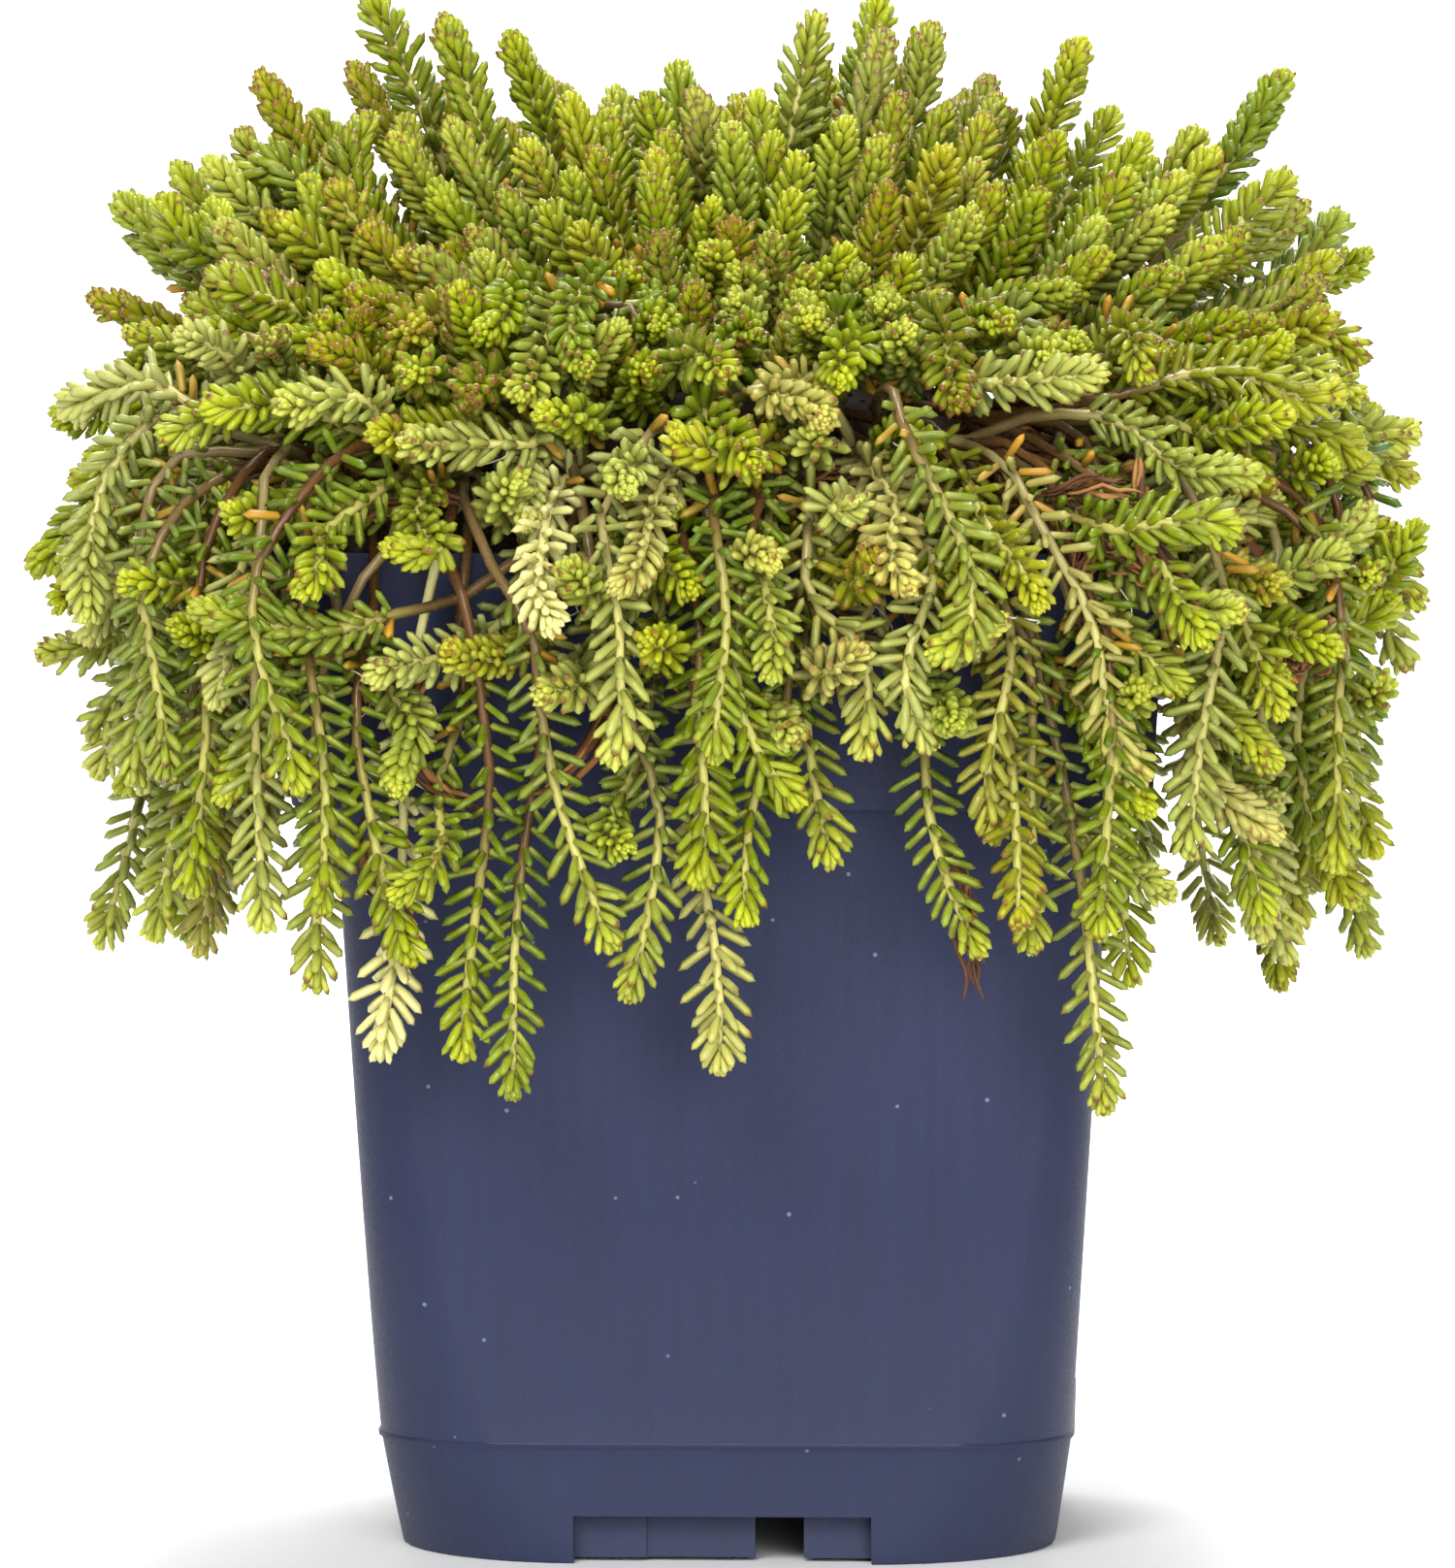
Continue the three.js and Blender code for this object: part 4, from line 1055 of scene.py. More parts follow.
class MeshHeap:
    """Gathers copies of blanks with their colour data, and makes them one mesh."""

    def __init__(self, name: str) -> None:
        """Starts an empty heap.

        Args:
            name: Name of the piece that it becomes.
        """
        self.name = name
        self.points: list[Array] = []
        self.faces: list[Array] = []
        self.leaf: list[Array] = []
        self.tone: list[Array] = []
        self.count = 0

    def add(self, blank: Blank, points: Array, leaf: Array, tone: Array) -> None:
        """Adds copies of a blank.

        Args:
            blank: The shape whose faces are copied.
            points: Places of the copies' vertices, copies by vertices by three.
            leaf: Colour data that may differ at each vertex, copies by vertices by four.
            tone: Colour data of each copy, copies by four.
        """
        copies, size, _ = points.shape
        offsets = self.count + np.arange(copies) * size
        self.points.append(points.reshape(-1, 3))
        self.faces.append((blank.faces[None] + offsets[:, None, None]).reshape(-1, 3))
        self.leaf.append(np.broadcast_to(leaf, (copies, size, 4)).reshape(-1, 4))
        self.tone.append(np.broadcast_to(tone[:, None], (copies, size, 4)).reshape(-1, 4))
        self.count += copies * size

    def gathered(self) -> tuple[Array, Array, dict[str, Array]]:
        """All that was added, without faces that have no place.

        A strand whose line stands still has no direction there, so its ring gets no place.

        Returns:
            Points in metres, faces, and the colour data by name.
        """
        points = np.concatenate(self.points) * MM
        faces = np.concatenate(self.faces)
        placed = np.isfinite(points).all(axis=1)
        faces = (np.cumsum(placed) - 1)[faces[placed[faces].all(axis=1)]]
        layers = {"leaf_data": np.concatenate(self.leaf), "tone_data": np.concatenate(self.tone)}
        return points[placed], faces, {name: rows[placed] for name, rows in layers.items()}

    def build(self, material: Material) -> Piece:
        """Makes the piece.

        Args:
            material: Its finish.

        Returns:
            The piece's object, at the origin.
        """
        points, faces, layers = self.gathered()
        mesh = bpy.data.meshes.new(self.name)
        mesh.vertices.add(len(points))
        mesh.vertices.foreach_set("co", points.astype(np.float32).ravel())
        mesh.loops.add(faces.size)
        mesh.loops.foreach_set("vertex_index", faces.astype(np.int32).ravel())
        mesh.polygons.add(len(faces))
        mesh.polygons.foreach_set("loop_start", np.arange(0, faces.size, 3, dtype=np.int32))
        mesh.polygons.foreach_set("use_smooth", np.ones(len(faces), dtype=bool))
        mesh.update(calc_edges=True)
        for name, rows in layers.items():
            layer = mesh.attributes.new(name, "FLOAT_COLOR", "POINT")
            layer.data.foreach_set("color", rows.astype(np.float32).ravel())
        mesh.materials.append(material)
        piece = bpy.data.objects.new(self.name, mesh)
        bpy.context.scene.collection.objects.link(piece)
        LOG.info("%s: %d triangles", self.name, len(faces))
        return piece


class Path:
    """A smooth line through points, with a frame at every distance along it."""

    def __init__(self, points: Array, fineness: int = 5) -> None:
        """Draws the line.

        Args:
            points: Points that it goes through.
            fineness: Steps between two points.
        """
        padded = np.vstack([2 * points[0] - points[1], points, 2 * points[-1] - points[-2]])
        t = (np.arange(fineness) / fineness)[:, None]
        pieces = []
        for i in range(len(points) - 1):
            p0, p1, p2, p3 = padded[i : i + 4]
            bend = 2 * p0 - 5 * p1 + 4 * p2 - p3
            twist = 3 * p1 - p0 - 3 * p2 + p3
            pieces.append(0.5 * (2 * p1 + (p2 - p0) * t + bend * t**2 + twist * t**3))
        pieces.append(points[-1:])
        self.places = np.vstack(pieces)
        steps = np.linalg.norm(np.diff(self.places, axis=0), axis=1)
        self.arc = np.concatenate([[0.0], np.cumsum(steps)])
        self.total = float(self.arc[-1])
        self.tangents = unit(np.gradient(self.places, self.arc, axis=0))
        first = np.array([0.0, 0.0, 1.0]) if abs(self.tangents[0][2]) < 0.9 else np.array([1.0, 0.0, 0.0])
        normals = []
        for tangent in self.tangents:
            first = unit(first - tangent * (first @ tangent))
            normals.append(first)
        self.normals = np.array(normals)

    def at(self, along: Array) -> tuple[Array, Array, Array, Array]:
        """Frames at distances along the line.

        Args:
            along: Distances from its start.

        Returns:
            Centres, tangents, normals and sides, one row for each distance.
        """
        def blend(rows: Array) -> Array:
            """Values of a row of vectors at the distances."""
            return np.stack([np.interp(along, self.arc, rows[:, k]) for k in range(3)], axis=1)

        tangent = unit(blend(self.tangents))
        normal = blend(self.normals)
        normal = unit(normal - tangent * (normal * tangent).sum(axis=1, keepdims=True))
        return blend(self.places), tangent, normal, np.cross(tangent, normal)


@dataclass
class ShootDresser:
    """Covers shoots with leaves and gives them their stems."""

    shop: BlankShop
    fine_until: float = 7.0
    plain_until: float = 14.0
    far_plain_until: float = 4.0
    twist: float = 0.045
    leaf_flat: float = 0.9

    def __post_init__(self) -> None:
        """Models the blanks once."""
        self.leaf_fine = self.shop.leaf(5, self.shop.full_rings)
        self.leaf_plain = self.shop.leaf(4, self.shop.full_rings)
        self.leaf_coarse = self.shop.leaf(4, self.shop.plain_rings)
        self.stem_near = self.shop.stem(5, 12)
        self.stem_far = self.shop.stem(4, 9)

    def dress(self, heap: MeshHeap, shoot: Shoot, seed: int, skip_tip: float = 0.0) -> int:
        """Adds one shoot to a heap.

        Args:
            heap: The heap of its bunch.
            shoot: The shoot.
            seed: Seed of its small differences.
            skip_tip: Length at its tip that carries no leaves.

        Returns:
            How many leaves it got.
        """
        rng = np.random.default_rng(seed)
        plan = LEAF_PLANS[shoot.look]
        path = Path(shoot.line)
        share = 1.0 if shoot.near else 0.82
        leafy = min(plan.leafy * share, path.total * (1 - ROOMS[shoot.habit].bare * 0.6))
        if shoot.habit is Habit.SEED_HEAD:
            leafy = plan.leafy
        closeness = rng.uniform(0.92, 1.1)
        downs = []
        down = skip_tip
        while down < leafy:
            downs.append(down)
            down += float(np.interp(down, DOWN, plan.spacing)) * closeness
        whorls = np.array(downs)
        self.add_stem(heap, path, plan, shoot, rng)
        down = np.repeat(whorls, WHORL)
        order = np.repeat(np.arange(len(whorls)), WHORL)
        slot = np.tile(np.arange(WHORL), len(whorls))
        phase = rng.uniform(0, 2 * math.pi) + (order % 2) * math.pi / WHORL + slot * 2 * math.pi / WHORL
        phase = phase + order * self.twist + rng.normal(0, 0.16, len(down))
        down = np.clip(down + rng.normal(0, 0.12, len(down)), 0.0, path.total - 0.5)
        centre, tangent, normal, side = path.at(path.total - down)
        radial = normal * np.cos(phase)[:, None] + side * np.sin(phase)[:, None]
        spread = np.interp(down, DOWN, plan.angle) + rng.normal(0, 6.0, len(down)) * np.clip(down / 4, 0, 1)
        spread = np.radians(spread)[:, None]
        axis = tangent * np.cos(spread) + radial * np.sin(spread)
        inner = tangent * np.sin(spread) - radial * np.cos(spread)
        lean = rng.normal(0, 0.1, len(down))[:, None]
        flank = np.cross(inner, axis)
        axis = unit(axis + flank * lean)
        flank = unit(np.cross(inner, axis))
        stem_radius = plan.stem * np.clip(0.35 + down / 6, 0, 1)
        base = centre + radial * (stem_radius * 0.7)[:, None]
        size = rng.uniform(0.93, 1.07)
        length = np.interp(down, DOWN, plan.length) * rng.uniform(0.88, 1.1, len(down)) * size
        width = np.interp(down, DOWN, plan.width) * rng.uniform(0.9, 1.08, len(down)) * size
        age = np.clip(down / 30, 0, 1)
        chance = rng.random(len(down))
        tone = np.tile(np.array(shoot.tone), (len(down), 1))
        old = (down > leafy * 0.72) & (rng.random(len(down)) < 0.16)
        tone[old, 2] = rng.uniform(0.5, 1.0, int(old.sum()))
        fine = (down < self.fine_until) & shoot.near
        plain = (down < (self.plain_until if shoot.near else self.far_plain_until)) & ~fine
        coarse = ~(fine | plain)
        for chosen, blank in ((fine, self.leaf_fine), (plain, self.leaf_plain), (coarse, self.leaf_coarse)):
            if not chosen.any():
                continue
            frames = (base[chosen], axis[chosen], flank[chosen])
            points = laid_along(blank, *frames, length[chosen], width[chosen], self.leaf_flat)
            along = blank.points[:, 2]
            data = leaf_rows(along, age[chosen, None], chance[chosen, None], 1.0, int(chosen.sum()))
            heap.add(blank, points, data, tone[chosen])
        return len(down)

    def add_stem(
        self, heap: MeshHeap, path: Path, plan: LeafPlan, shoot: Shoot, rng: np.random.Generator
    ) -> None:
        """Lays the stem along a shoot's line, thinner towards its tip.

        Args:
            heap: The heap of its bunch.
            path: The shoot's line.
            plan: Its leaf plan.
            shoot: The shoot.
            rng: Source of its small differences.
        """
        stem = self.stem_near if shoot.near else self.stem_far
        x, y, z = stem.points.T
        along = z * (path.total - 0.6)
        centre, _, normal, side = path.at(along)
        radius = plan.stem * np.clip(0.3 + (path.total - along) / 7, 0, 1) * (1 + 0.3 * (1 - z) ** 2)
        points = centre + (normal * x[:, None] + side * y[:, None]) * radius[:, None]
        data = leaf_rows(z, np.clip((path.total - along) / 30, 0, 1), rng.random())
        heap.add(stem, points[None], data, np.array([shoot.tone]))


class Shader:
    """Puts one procedural material together, node by node."""

    def __init__(self, name: str) -> None:
        """Starts a material with an empty surface shader.

        Args:
            name: Name of the material.
        """
        self.material = bpy.data.materials.new(name)
        self.material.use_nodes = True
        self.tree = self.material.node_tree
        self.surface = self.tree.nodes["Principled BSDF"]

    def node(self, kind: str, **settings: object) -> bpy.types.Node:
        """Adds a node and sets its properties."""
        made = self.tree.nodes.new(kind)
        for key, value in settings.items():
            setattr(made, key, value)
        return made

    def feed(self, socket: Socket, value: object) -> None:
        """Links a value to a socket, or sets it if it is a number or a hexadecimal colour."""
        if isinstance(value, Socket):
            self.tree.links.new(value, socket)
        else:
            socket.default_value = linear(value) if isinstance(value, str) else value

    def set(self, **values: object) -> None:
        """Sets or links the surface shader's sockets, with underscores for spaces."""
        for key, value in values.items():
            self.feed(self.surface.inputs[key.replace("_", " ")], value)

    def place(self, scale: tuple[float, float, float] = (1, 1, 1)) -> Socket:
        """Object coordinates, stretched along each axis."""
        coordinates = self.node("ShaderNodeTexCoord")
        mapping = self.node("ShaderNodeMapping")
        mapping.inputs["Scale"].default_value = scale
        self.tree.links.new(coordinates.outputs["Object"], mapping.inputs["Vector"])
        return mapping.outputs["Vector"]

    def attribute(self, name: str) -> tuple[Socket, ...]:
        """The four channels of a colour attribute."""
        read = self.node("ShaderNodeAttribute", attribute_name=name)
        split = self.node("ShaderNodeSeparateColor")
        self.tree.links.new(read.outputs["Color"], split.inputs["Color"])
        return (*split.outputs, read.outputs["Alpha"])

    def noise(self, scale: float, detail: float = 2.0, vector: object = None, roughness: float = 0.5):
        """A noise value at a number of features per metre."""
        made = self.node("ShaderNodeTexNoise")
        made.inputs["Scale"].default_value = scale
        made.inputs["Detail"].default_value = detail
        made.inputs["Roughness"].default_value = roughness
        self.feed(made.inputs["Vector"], vector if vector is not None else self.place())
        return made.outputs["Fac"]

    def ramp(self, value: Socket, low: float, high: float, ends: tuple[float, float] = (0, 1)):
        """A value stretched from one range to another and kept within it."""
        made = self.node("ShaderNodeMapRange", clamp=True)
        for key, number in zip(("From Min", "From Max", "To Min", "To Max"), (low, high, *ends)):
            made.inputs[key].default_value = number
        self.feed(made.inputs["Value"], value)
        return made.outputs["Result"]

    def maths(self, operation: str, first: object, second: object = 0.0) -> Socket:
        """The result of a sum, product or the like."""
        made = self.node("ShaderNodeMath", operation=operation)
        self.feed(made.inputs[0], first)
        self.feed(made.inputs[1], second)
        return made.outputs[0]

    def mix(self, factor: object, first: object, second: object) -> Socket:
        """Two colours mixed by a factor."""
        made = self.node("ShaderNodeMix", data_type="RGBA")
        self.feed(made.inputs[0], factor)
        self.feed(made.inputs[6], first)
        self.feed(made.inputs[7], second)
        return made.outputs[2]

    def bump(self, height: Socket, distance_mm: float, strength: float = 1.0) -> None:
        """Gives the surface relief from a value."""
        made = self.node("ShaderNodeBump")
        made.inputs["Strength"].default_value = strength
        made.inputs["Distance"].default_value = distance_mm * MM
        self.feed(made.inputs["Height"], height)
        self.feed(self.surface.inputs["Normal"], made.outputs["Normal"])


@dataclass(frozen=True)
class LeafFinish:
    """Glossy, plump leaves: yellow-green at the tip of a shoot, darker below, some reddened."""

    young: str = "aeb41a"
    grown: str = "86920c"
    lower: str = "5d7008"
    deep: str = "3c4e06"
    cream: str = "ddd68e"
    base: str = "b9b556"
    red: str = "5e2010"
    dry: str = "b8862c"
    blue: str = "46682e"
    stem_young: str = "b4b05a"
    stem_old: str = "5f4022"

    def material(self) -> Material:
        """Builds the finish."""
        shader = Shader("stonecrop_leaf")
        along, age, chance, is_leaf = shader.attribute("leaf_data")
        pale, red, dry, blue = shader.attribute("tone_data")
        patch = shader.noise(55.0, 2.0)
        colour = shader.mix(shader.ramp(age, 0.02, 0.22), self.young, self.grown)
        colour = shader.mix(shader.ramp(age, 0.2, 0.85), colour, self.lower)
        colour = shader.mix(shader.ramp(patch, 0.45, 0.75, (0, 0.5)), colour, self.lower)
        colour = shader.mix(shader.ramp(chance, 0.55, 1.0, (0, 0.4)), colour, self.deep)
        colour = shader.mix(blue, colour, self.blue)
        colour = shader.mix(shader.ramp(along, 0.5, 0.0, (0, 0.5)), colour, self.base)
        colour = shader.mix(shader.ramp(pale, 0.0, 1.0, (0, 0.85)), colour, self.cream)
        dotted = shader.maths("LESS_THAN", chance, shader.ramp(red, 0.0, 0.8, (0.05, 0.95)))
        upper = shader.ramp(age, 0.8, 0.1)
        spot = shader.maths("MULTIPLY", shader.ramp(along, 0.76, 0.9), dotted)
        spot = shader.maths("MULTIPLY", spot, upper)
        colour = shader.mix(shader.ramp(spot, 0, 1, (0, 0.85)), colour, self.red)
        blush = shader.maths("MULTIPLY", shader.ramp(along, 0.3, 1.0, (0, 0.35)), shader.ramp(red, 0.6, 1.0))
        colour = shader.mix(blush, colour, self.red)
        colour = shader.mix(dry, colour, self.dry)
        stem = shader.mix(shader.ramp(age, 0.5, 1.0), self.stem_young, self.stem_old)
        stem = shader.mix(pale, stem, self.cream)
        colour = shader.mix(is_leaf, stem, colour)
        shader.set(Base_Color=colour, Roughness=shader.ramp(shader.noise(900.0), 0.3, 0.7, (0.2, 0.36)))
        shader.set(Subsurface_Weight=0.12, Subsurface_Radius=(1.0, 0.9, 0.3), Subsurface_Scale=0.0006)
        shader.set(Specular_IOR_Level=0.42, IOR=1.42)
        shader.bump(shader.noise(2600.0, 1.0), 0.03, 0.5)
        return shader.material


@dataclass(frozen=True)
class PlasticFinish:
    """Dark blue moulded plastic with a fine grain, faint upright streaks and dusty specks, with painted shade
    on its upright corners and painted light towards its foot.
    """

    colour: str = "1e2545"
    darker: str = "171d39"
    # Pale blue-grey of the dusty specks, also used for the painted light at the foot.
    pale_blue_grey: str = "868ca4"

    def material(self) -> Material:
        """Builds the finish."""
        shader = Shader("pot_plastic_blue")
        streaks = shader.noise(1.0, 3.0, shader.place((520, 520, 14)), 0.6)
        cloud = shader.noise(28.0, 3.0)
        grain = shader.noise(2400.0, 2.0)
        colour = shader.mix(shader.ramp(streaks, 0.3, 0.75, (0, 0.6)), self.colour, self.darker)
        colour = shader.mix(shader.ramp(cloud, 0.35, 0.8, (0, 0.35)), colour, self.darker)
        axes = shader.node("ShaderNodeSeparateXYZ")
        shader.feed(axes.inputs[0], shader.place())
        across, deep = (shader.maths("ABSOLUTE", axes.outputs[index]) for index in (0, 1))
        # Painted shade: the upright corners, whose sides turn away from the lights, are darkened towards the
        # darker blue.
        corner = shader.ramp(shader.maths("MINIMUM", across, deep), 0.034, 0.047, (0, 0.75))
        colour = shader.mix(corner, colour, self.darker)
        # Painted light: the pot is made a little paler towards its foot by mixing in the pale blue-grey.
        foot = shader.ramp(axes.outputs[2], 0.045, 0.004, (0, 0.06))
        colour = shader.mix(foot, colour, self.pale_blue_grey)
        # Dusty specks in the same pale blue-grey.
        specks = shader.node("ShaderNodeTexVoronoi")
        specks.inputs["Scale"].default_value = 170.0
        shader.feed(specks.inputs["Vector"], shader.place())
        pale_blue_grey = shader.ramp(specks.outputs["Distance"], 0.055, 0.03, (0, 0.55))
        colour = shader.mix(pale_blue_grey, colour, self.pale_blue_grey)
        roughness = shader.ramp(grain, 0.25, 0.75, (0.42, 0.62))
        shader.set(Base_Color=colour, Roughness=roughness, Specular_IOR_Level=0.28, IOR=1.49)
        relief = shader.maths("ADD", shader.ramp(grain, 0, 1, (0, 0.7)), shader.ramp(streaks, 0, 1, (0, 0.3)))
        shader.bump(relief, 0.05, 0.6)
        return shader.material


@dataclass(frozen=True)
class SoilFinish:
    """Dark, crumbling potting soil."""

    dark: str = "1b120c"
    light: str = "4d3826"

    def material(self) -> Material:
        """Builds the finish."""
        shader = Shader("potting_soil_dark")
        fine = shader.noise(700.0, 4.0, roughness=0.7)
        coarse = shader.noise(160.0, 3.0)
        colour = shader.mix(shader.ramp(fine, 0.4, 0.75), self.dark, self.light)
        colour = shader.mix(shader.ramp(coarse, 0.5, 0.8, (0, 0.6)), colour, self.dark)
        shader.set(Base_Color=colour, Roughness=shader.ramp(fine, 0, 1, (0.8, 1.0)))
        shader.bump(fine, 0.5, 0.9)
        return shader.material


@dataclass(frozen=True)
class FibreFinish:
    """Roots, bark strips and dry leaves, each strand a little different."""

    name: str
    dark: str
    middle: str
    light: str
    roughness: float = 0.75

    def material(self) -> Material:
        """Builds the finish."""
        shader = Shader(self.name)
        _, _, chance, _ = shader.attribute("leaf_data")
        streak = shader.noise(420.0, 3.0)
        colour = shader.mix(shader.ramp(chance, 0.0, 0.55), self.dark, self.middle)
        colour = shader.mix(shader.ramp(chance, 0.6, 1.0), colour, self.light)
        colour = shader.mix(shader.ramp(streak, 0.5, 0.8, (0, 0.5)), colour, self.dark)
        shader.set(Base_Color=colour, Roughness=shader.ramp(streak, 0, 1, (self.roughness, 0.95)))
        shader.bump(shader.noise(1800.0, 2.0), 0.08, 0.7)
        return shader.material


@dataclass(frozen=True)
class PaperFinish:
    """The pale floor and the wall behind it."""

    colour: str = "f6f6f6"

    def material(self) -> Material:
        """Builds the finish."""
        shader = Shader("backdrop_paper")
        cloud = shader.noise(3.0, 2.0)
        colour = shader.mix(shader.ramp(cloud, 0.3, 0.7, (0, 0.1)), self.colour, "efefef")
        shader.set(Base_Color=colour, Roughness=0.9, Specular_IOR_Level=0.2)
        return shader.material


@dataclass(frozen=True)
class Section:
    """A rounded square outline across the pot."""

    half: float
    corner: float
    z: float


@dataclass
class Pot:
    """The square pot: body, collar, foot notches, the panels behind them and the drain holes."""

    sizes: PotSizes
    corner_segments: int = 9

    def sections(self) -> list[Section]:
        """Outlines from the inside floor up, over the rim, down to the foot and in under it."""
        s = self.sizes
        edge = s.edge_radius

        def body(z: float, inset: float) -> Section:
            """Outline of the body at a height, drawn in by an inset."""
            return Section(float(s.body_half(z)) - inset, s.body_corner(z) - inset, z)

        def collar(z: float, inset: float) -> Section:
            """Outline of the collar at a height, drawn in by an inset."""
            return Section(float(s.collar_half(z)) - inset, s.collar_corner - inset, z)

        ledge = s.collar_bottom_z + s.wall
        top_corner = s.body_corner(s.collar_bottom_z)
        inside = [body(z, s.wall) for z in (s.floor_top_z, s.seam_z, 32.0, 55.0, 80.0)]
        inside.append(Section(s.body_top_half - s.wall, top_corner - s.wall, ledge))
        inside += [collar(ledge + 0.01, s.wall), collar(s.height - edge, s.wall)]
        rim = [collar(s.height - 0.12, s.wall - 0.3), collar(s.height, s.wall / 2 + 0.12)]
        rim += [collar(s.height - 0.001, s.wall / 2 - 0.12), collar(s.height - 0.14, 0.12)]
        rim.append(collar(s.height - edge, 0))
        skirt = [collar(z, 0) for z in (s.height - 8, s.collar_bottom_z + 8, s.collar_bottom_z + edge)]
        skirt += [collar(s.collar_bottom_z + 0.1, 0.16), collar(s.collar_bottom_z, edge)]
        neck = [Section(s.body_top_half + 0.3, top_corner + 0.3, s.collar_bottom_z + 0.005)]
        neck += [body(z, 0) for z in (s.collar_bottom_z - 0.4, 80.0, 66.0, 55.0, 44.0, 32.0, 25.0, 20.0)]
        seam = [body(s.seam_z + s.seam_band, 0), body(s.seam_z + 0.18, -s.seam_proud)]
        seam += [body(s.seam_z - 0.18, -s.seam_proud), body(s.seam_z - s.seam_band, 0)]
        foot = [body(z, 0) for z in (11.0, 7.5, 4.0, 1.5, 0.35)] + [body(0.08, 0.12), body(0.0, 0.4)]
        under = [body(0.001, s.wall - 0.1), body(0.5, s.wall), body(s.floor_underside_z, s.wall)]
        return inside + rim + skirt + neck + seam + foot + under

    def build(self, material: Material) -> Piece:
        """Models the pot.

        Args:
            material: Its finish.

        Returns:
            The piece's object.
        """
        sections = self.sections()
        piece = self.skin(sections)
        self.cut_notches(piece)
        self.add_panels(piece)
        self.cut_drain_holes(piece)
        self.smooth(piece)
        Bench.paint(piece, material)
        LOG.info("%s: %d faces", piece.name, len(piece.data.polygons))
        return piece

    def skin(self, sections: list[Section]) -> Piece:
        """Bridges outlines one to the next and closes both ends.

        Args:
            sections: The outlines in order.

        Returns:
            The closed shell's object.
        """
        Bench.clear()
        bpy.ops.mesh.primitive_plane_add(size=1)
        piece = Bench.take("pot_body")
        Bench.edit(piece)
        bpy.ops.mesh.select_all(action="SELECT")
        bpy.ops.mesh.delete(type="VERT")
        for section in sections:
            bpy.ops.mesh.primitive_plane_add(size=2 * section.half * MM, location=(0, 0, section.z * MM))
            corner = section.corner * MM
            bpy.ops.mesh.bevel(
                offset=corner, offset_type="OFFSET", segments=self.corner_segments, affect="VERTICES"
            )
            bpy.ops.mesh.delete(type="ONLY_FACE")
        self.join_rings(len(sections))
        Bench.turn_out()
        Bench.close()
        return piece

    def join_rings(self, count: int) -> None:
        """Lays faces from each outline to the next, corner to corner, and closes both ends.

        Args:
            count: How many outlines the edited mesh holds, one after another.
        """
        mesh = bpy.context.edit_object.data
        work = bmesh.from_edit_mesh(mesh)
        work.verts.ensure_lookup_table()
        size = 4 * (self.corner_segments + 1)
        rings = [work.verts[i * size : (i + 1) * size] for i in range(count)]
        rings = [sorted(ring, key=lambda vertex: math.atan2(vertex.co.y, vertex.co.x)) for ring in rings]
        for low, high in zip(rings, rings[1:]):
            for k in range(size):
                after = (k + 1) % size
                work.faces.new((low[k], low[after], high[after], high[k]))
        work.faces.new(rings[0])
        work.faces.new(rings[-1])
        bmesh.update_edit_mesh(mesh)

    @staticmethod
    def block(low: Point, high: Point, quarter: int) -> Piece:
        """A box between two corners, turned by quarters about the pot's axis.

        Args:
            low: Its lowest corner.
            high: Its highest corner.
            quarter: How many quarter turns.

        Returns:
            Its object.
        """
        Bench.clear()
        size = [(b - a) * MM for a, b in zip(low, high)]
        centre = [(a + b) / 2 * MM for a, b in zip(low, high)]
        bpy.ops.mesh.primitive_cube_add(size=1, location=centre, scale=size)
        piece = Bench.take("block")
        Bench.settle(piece)
        Bench.edit(piece)
        bpy.ops.mesh.select_all(action="SELECT")
        turn = (math.cos(quarter * math.pi / 2), math.sin(quarter * math.pi / 2))
        work = bmesh.from_edit_mesh(piece.data)
        for vertex in work.verts:
            x, y = vertex.co.x, vertex.co.y
            vertex.co.x, vertex.co.y = x * turn[0] - y * turn[1], x * turn[1] + y * turn[0]
        bmesh.update_edit_mesh(piece.data)
        Bench.close()
        return piece

    @staticmethod
    def combine(piece: Piece, tool: Piece, operation: str) -> None:
        """Joins or cuts a piece with another, which is then removed."""
        modifier = piece.modifiers.new("combine", "BOOLEAN")
        modifier.operation = operation
        modifier.solver = "EXACT"
        modifier.object = tool
        Bench.apply(piece, modifier)
        bpy.data.objects.remove(tool)

    def cut_notches(self, piece: Piece) -> None:
        """Cuts a low notch in the middle of each side of the foot."""
        s = self.sizes
        for quarter in range(4):
            low = (-s.notch_half, -s.foot_half - 5, -1.0)
            high = (s.notch_half, -s.foot_half + s.wall + 1.2, s.notch_height)
            self.combine(piece, self.block(low, high, quarter), "DIFFERENCE")

    def add_panels(self, piece: Piece) -> None:
        """Adds the upright panels that stand behind each notch."""
        s = self.sizes
        face = -s.foot_half + s.panel_set_back
        rows = (
            (-s.notch_half - s.wall, s.panel_step_x, face),
            (s.panel_step_x - s.wall, s.drain_gap[0], face + s.panel_extra_depth),
            (s.drain_gap[1], s.notch_half + s.wall, face),
        )
        top = s.floor_underside_z + 0.5
        for quarter in range(4):
            for start, end, front in rows:
                low, high = (start, front, s.panel_bottom_z), (end, front + s.wall, top)
                self.combine(piece, self.block(low, high, quarter), "UNION")
            for side in (-1, 1):
                edge = side * (s.notch_half + s.wall / 2)
                low = (edge - s.wall / 2, -s.foot_half + 0.9, s.panel_bottom_z)
                high = (edge + s.wall / 2, face + s.wall, top)
                self.combine(piece, self.block(low, high, quarter), "UNION")

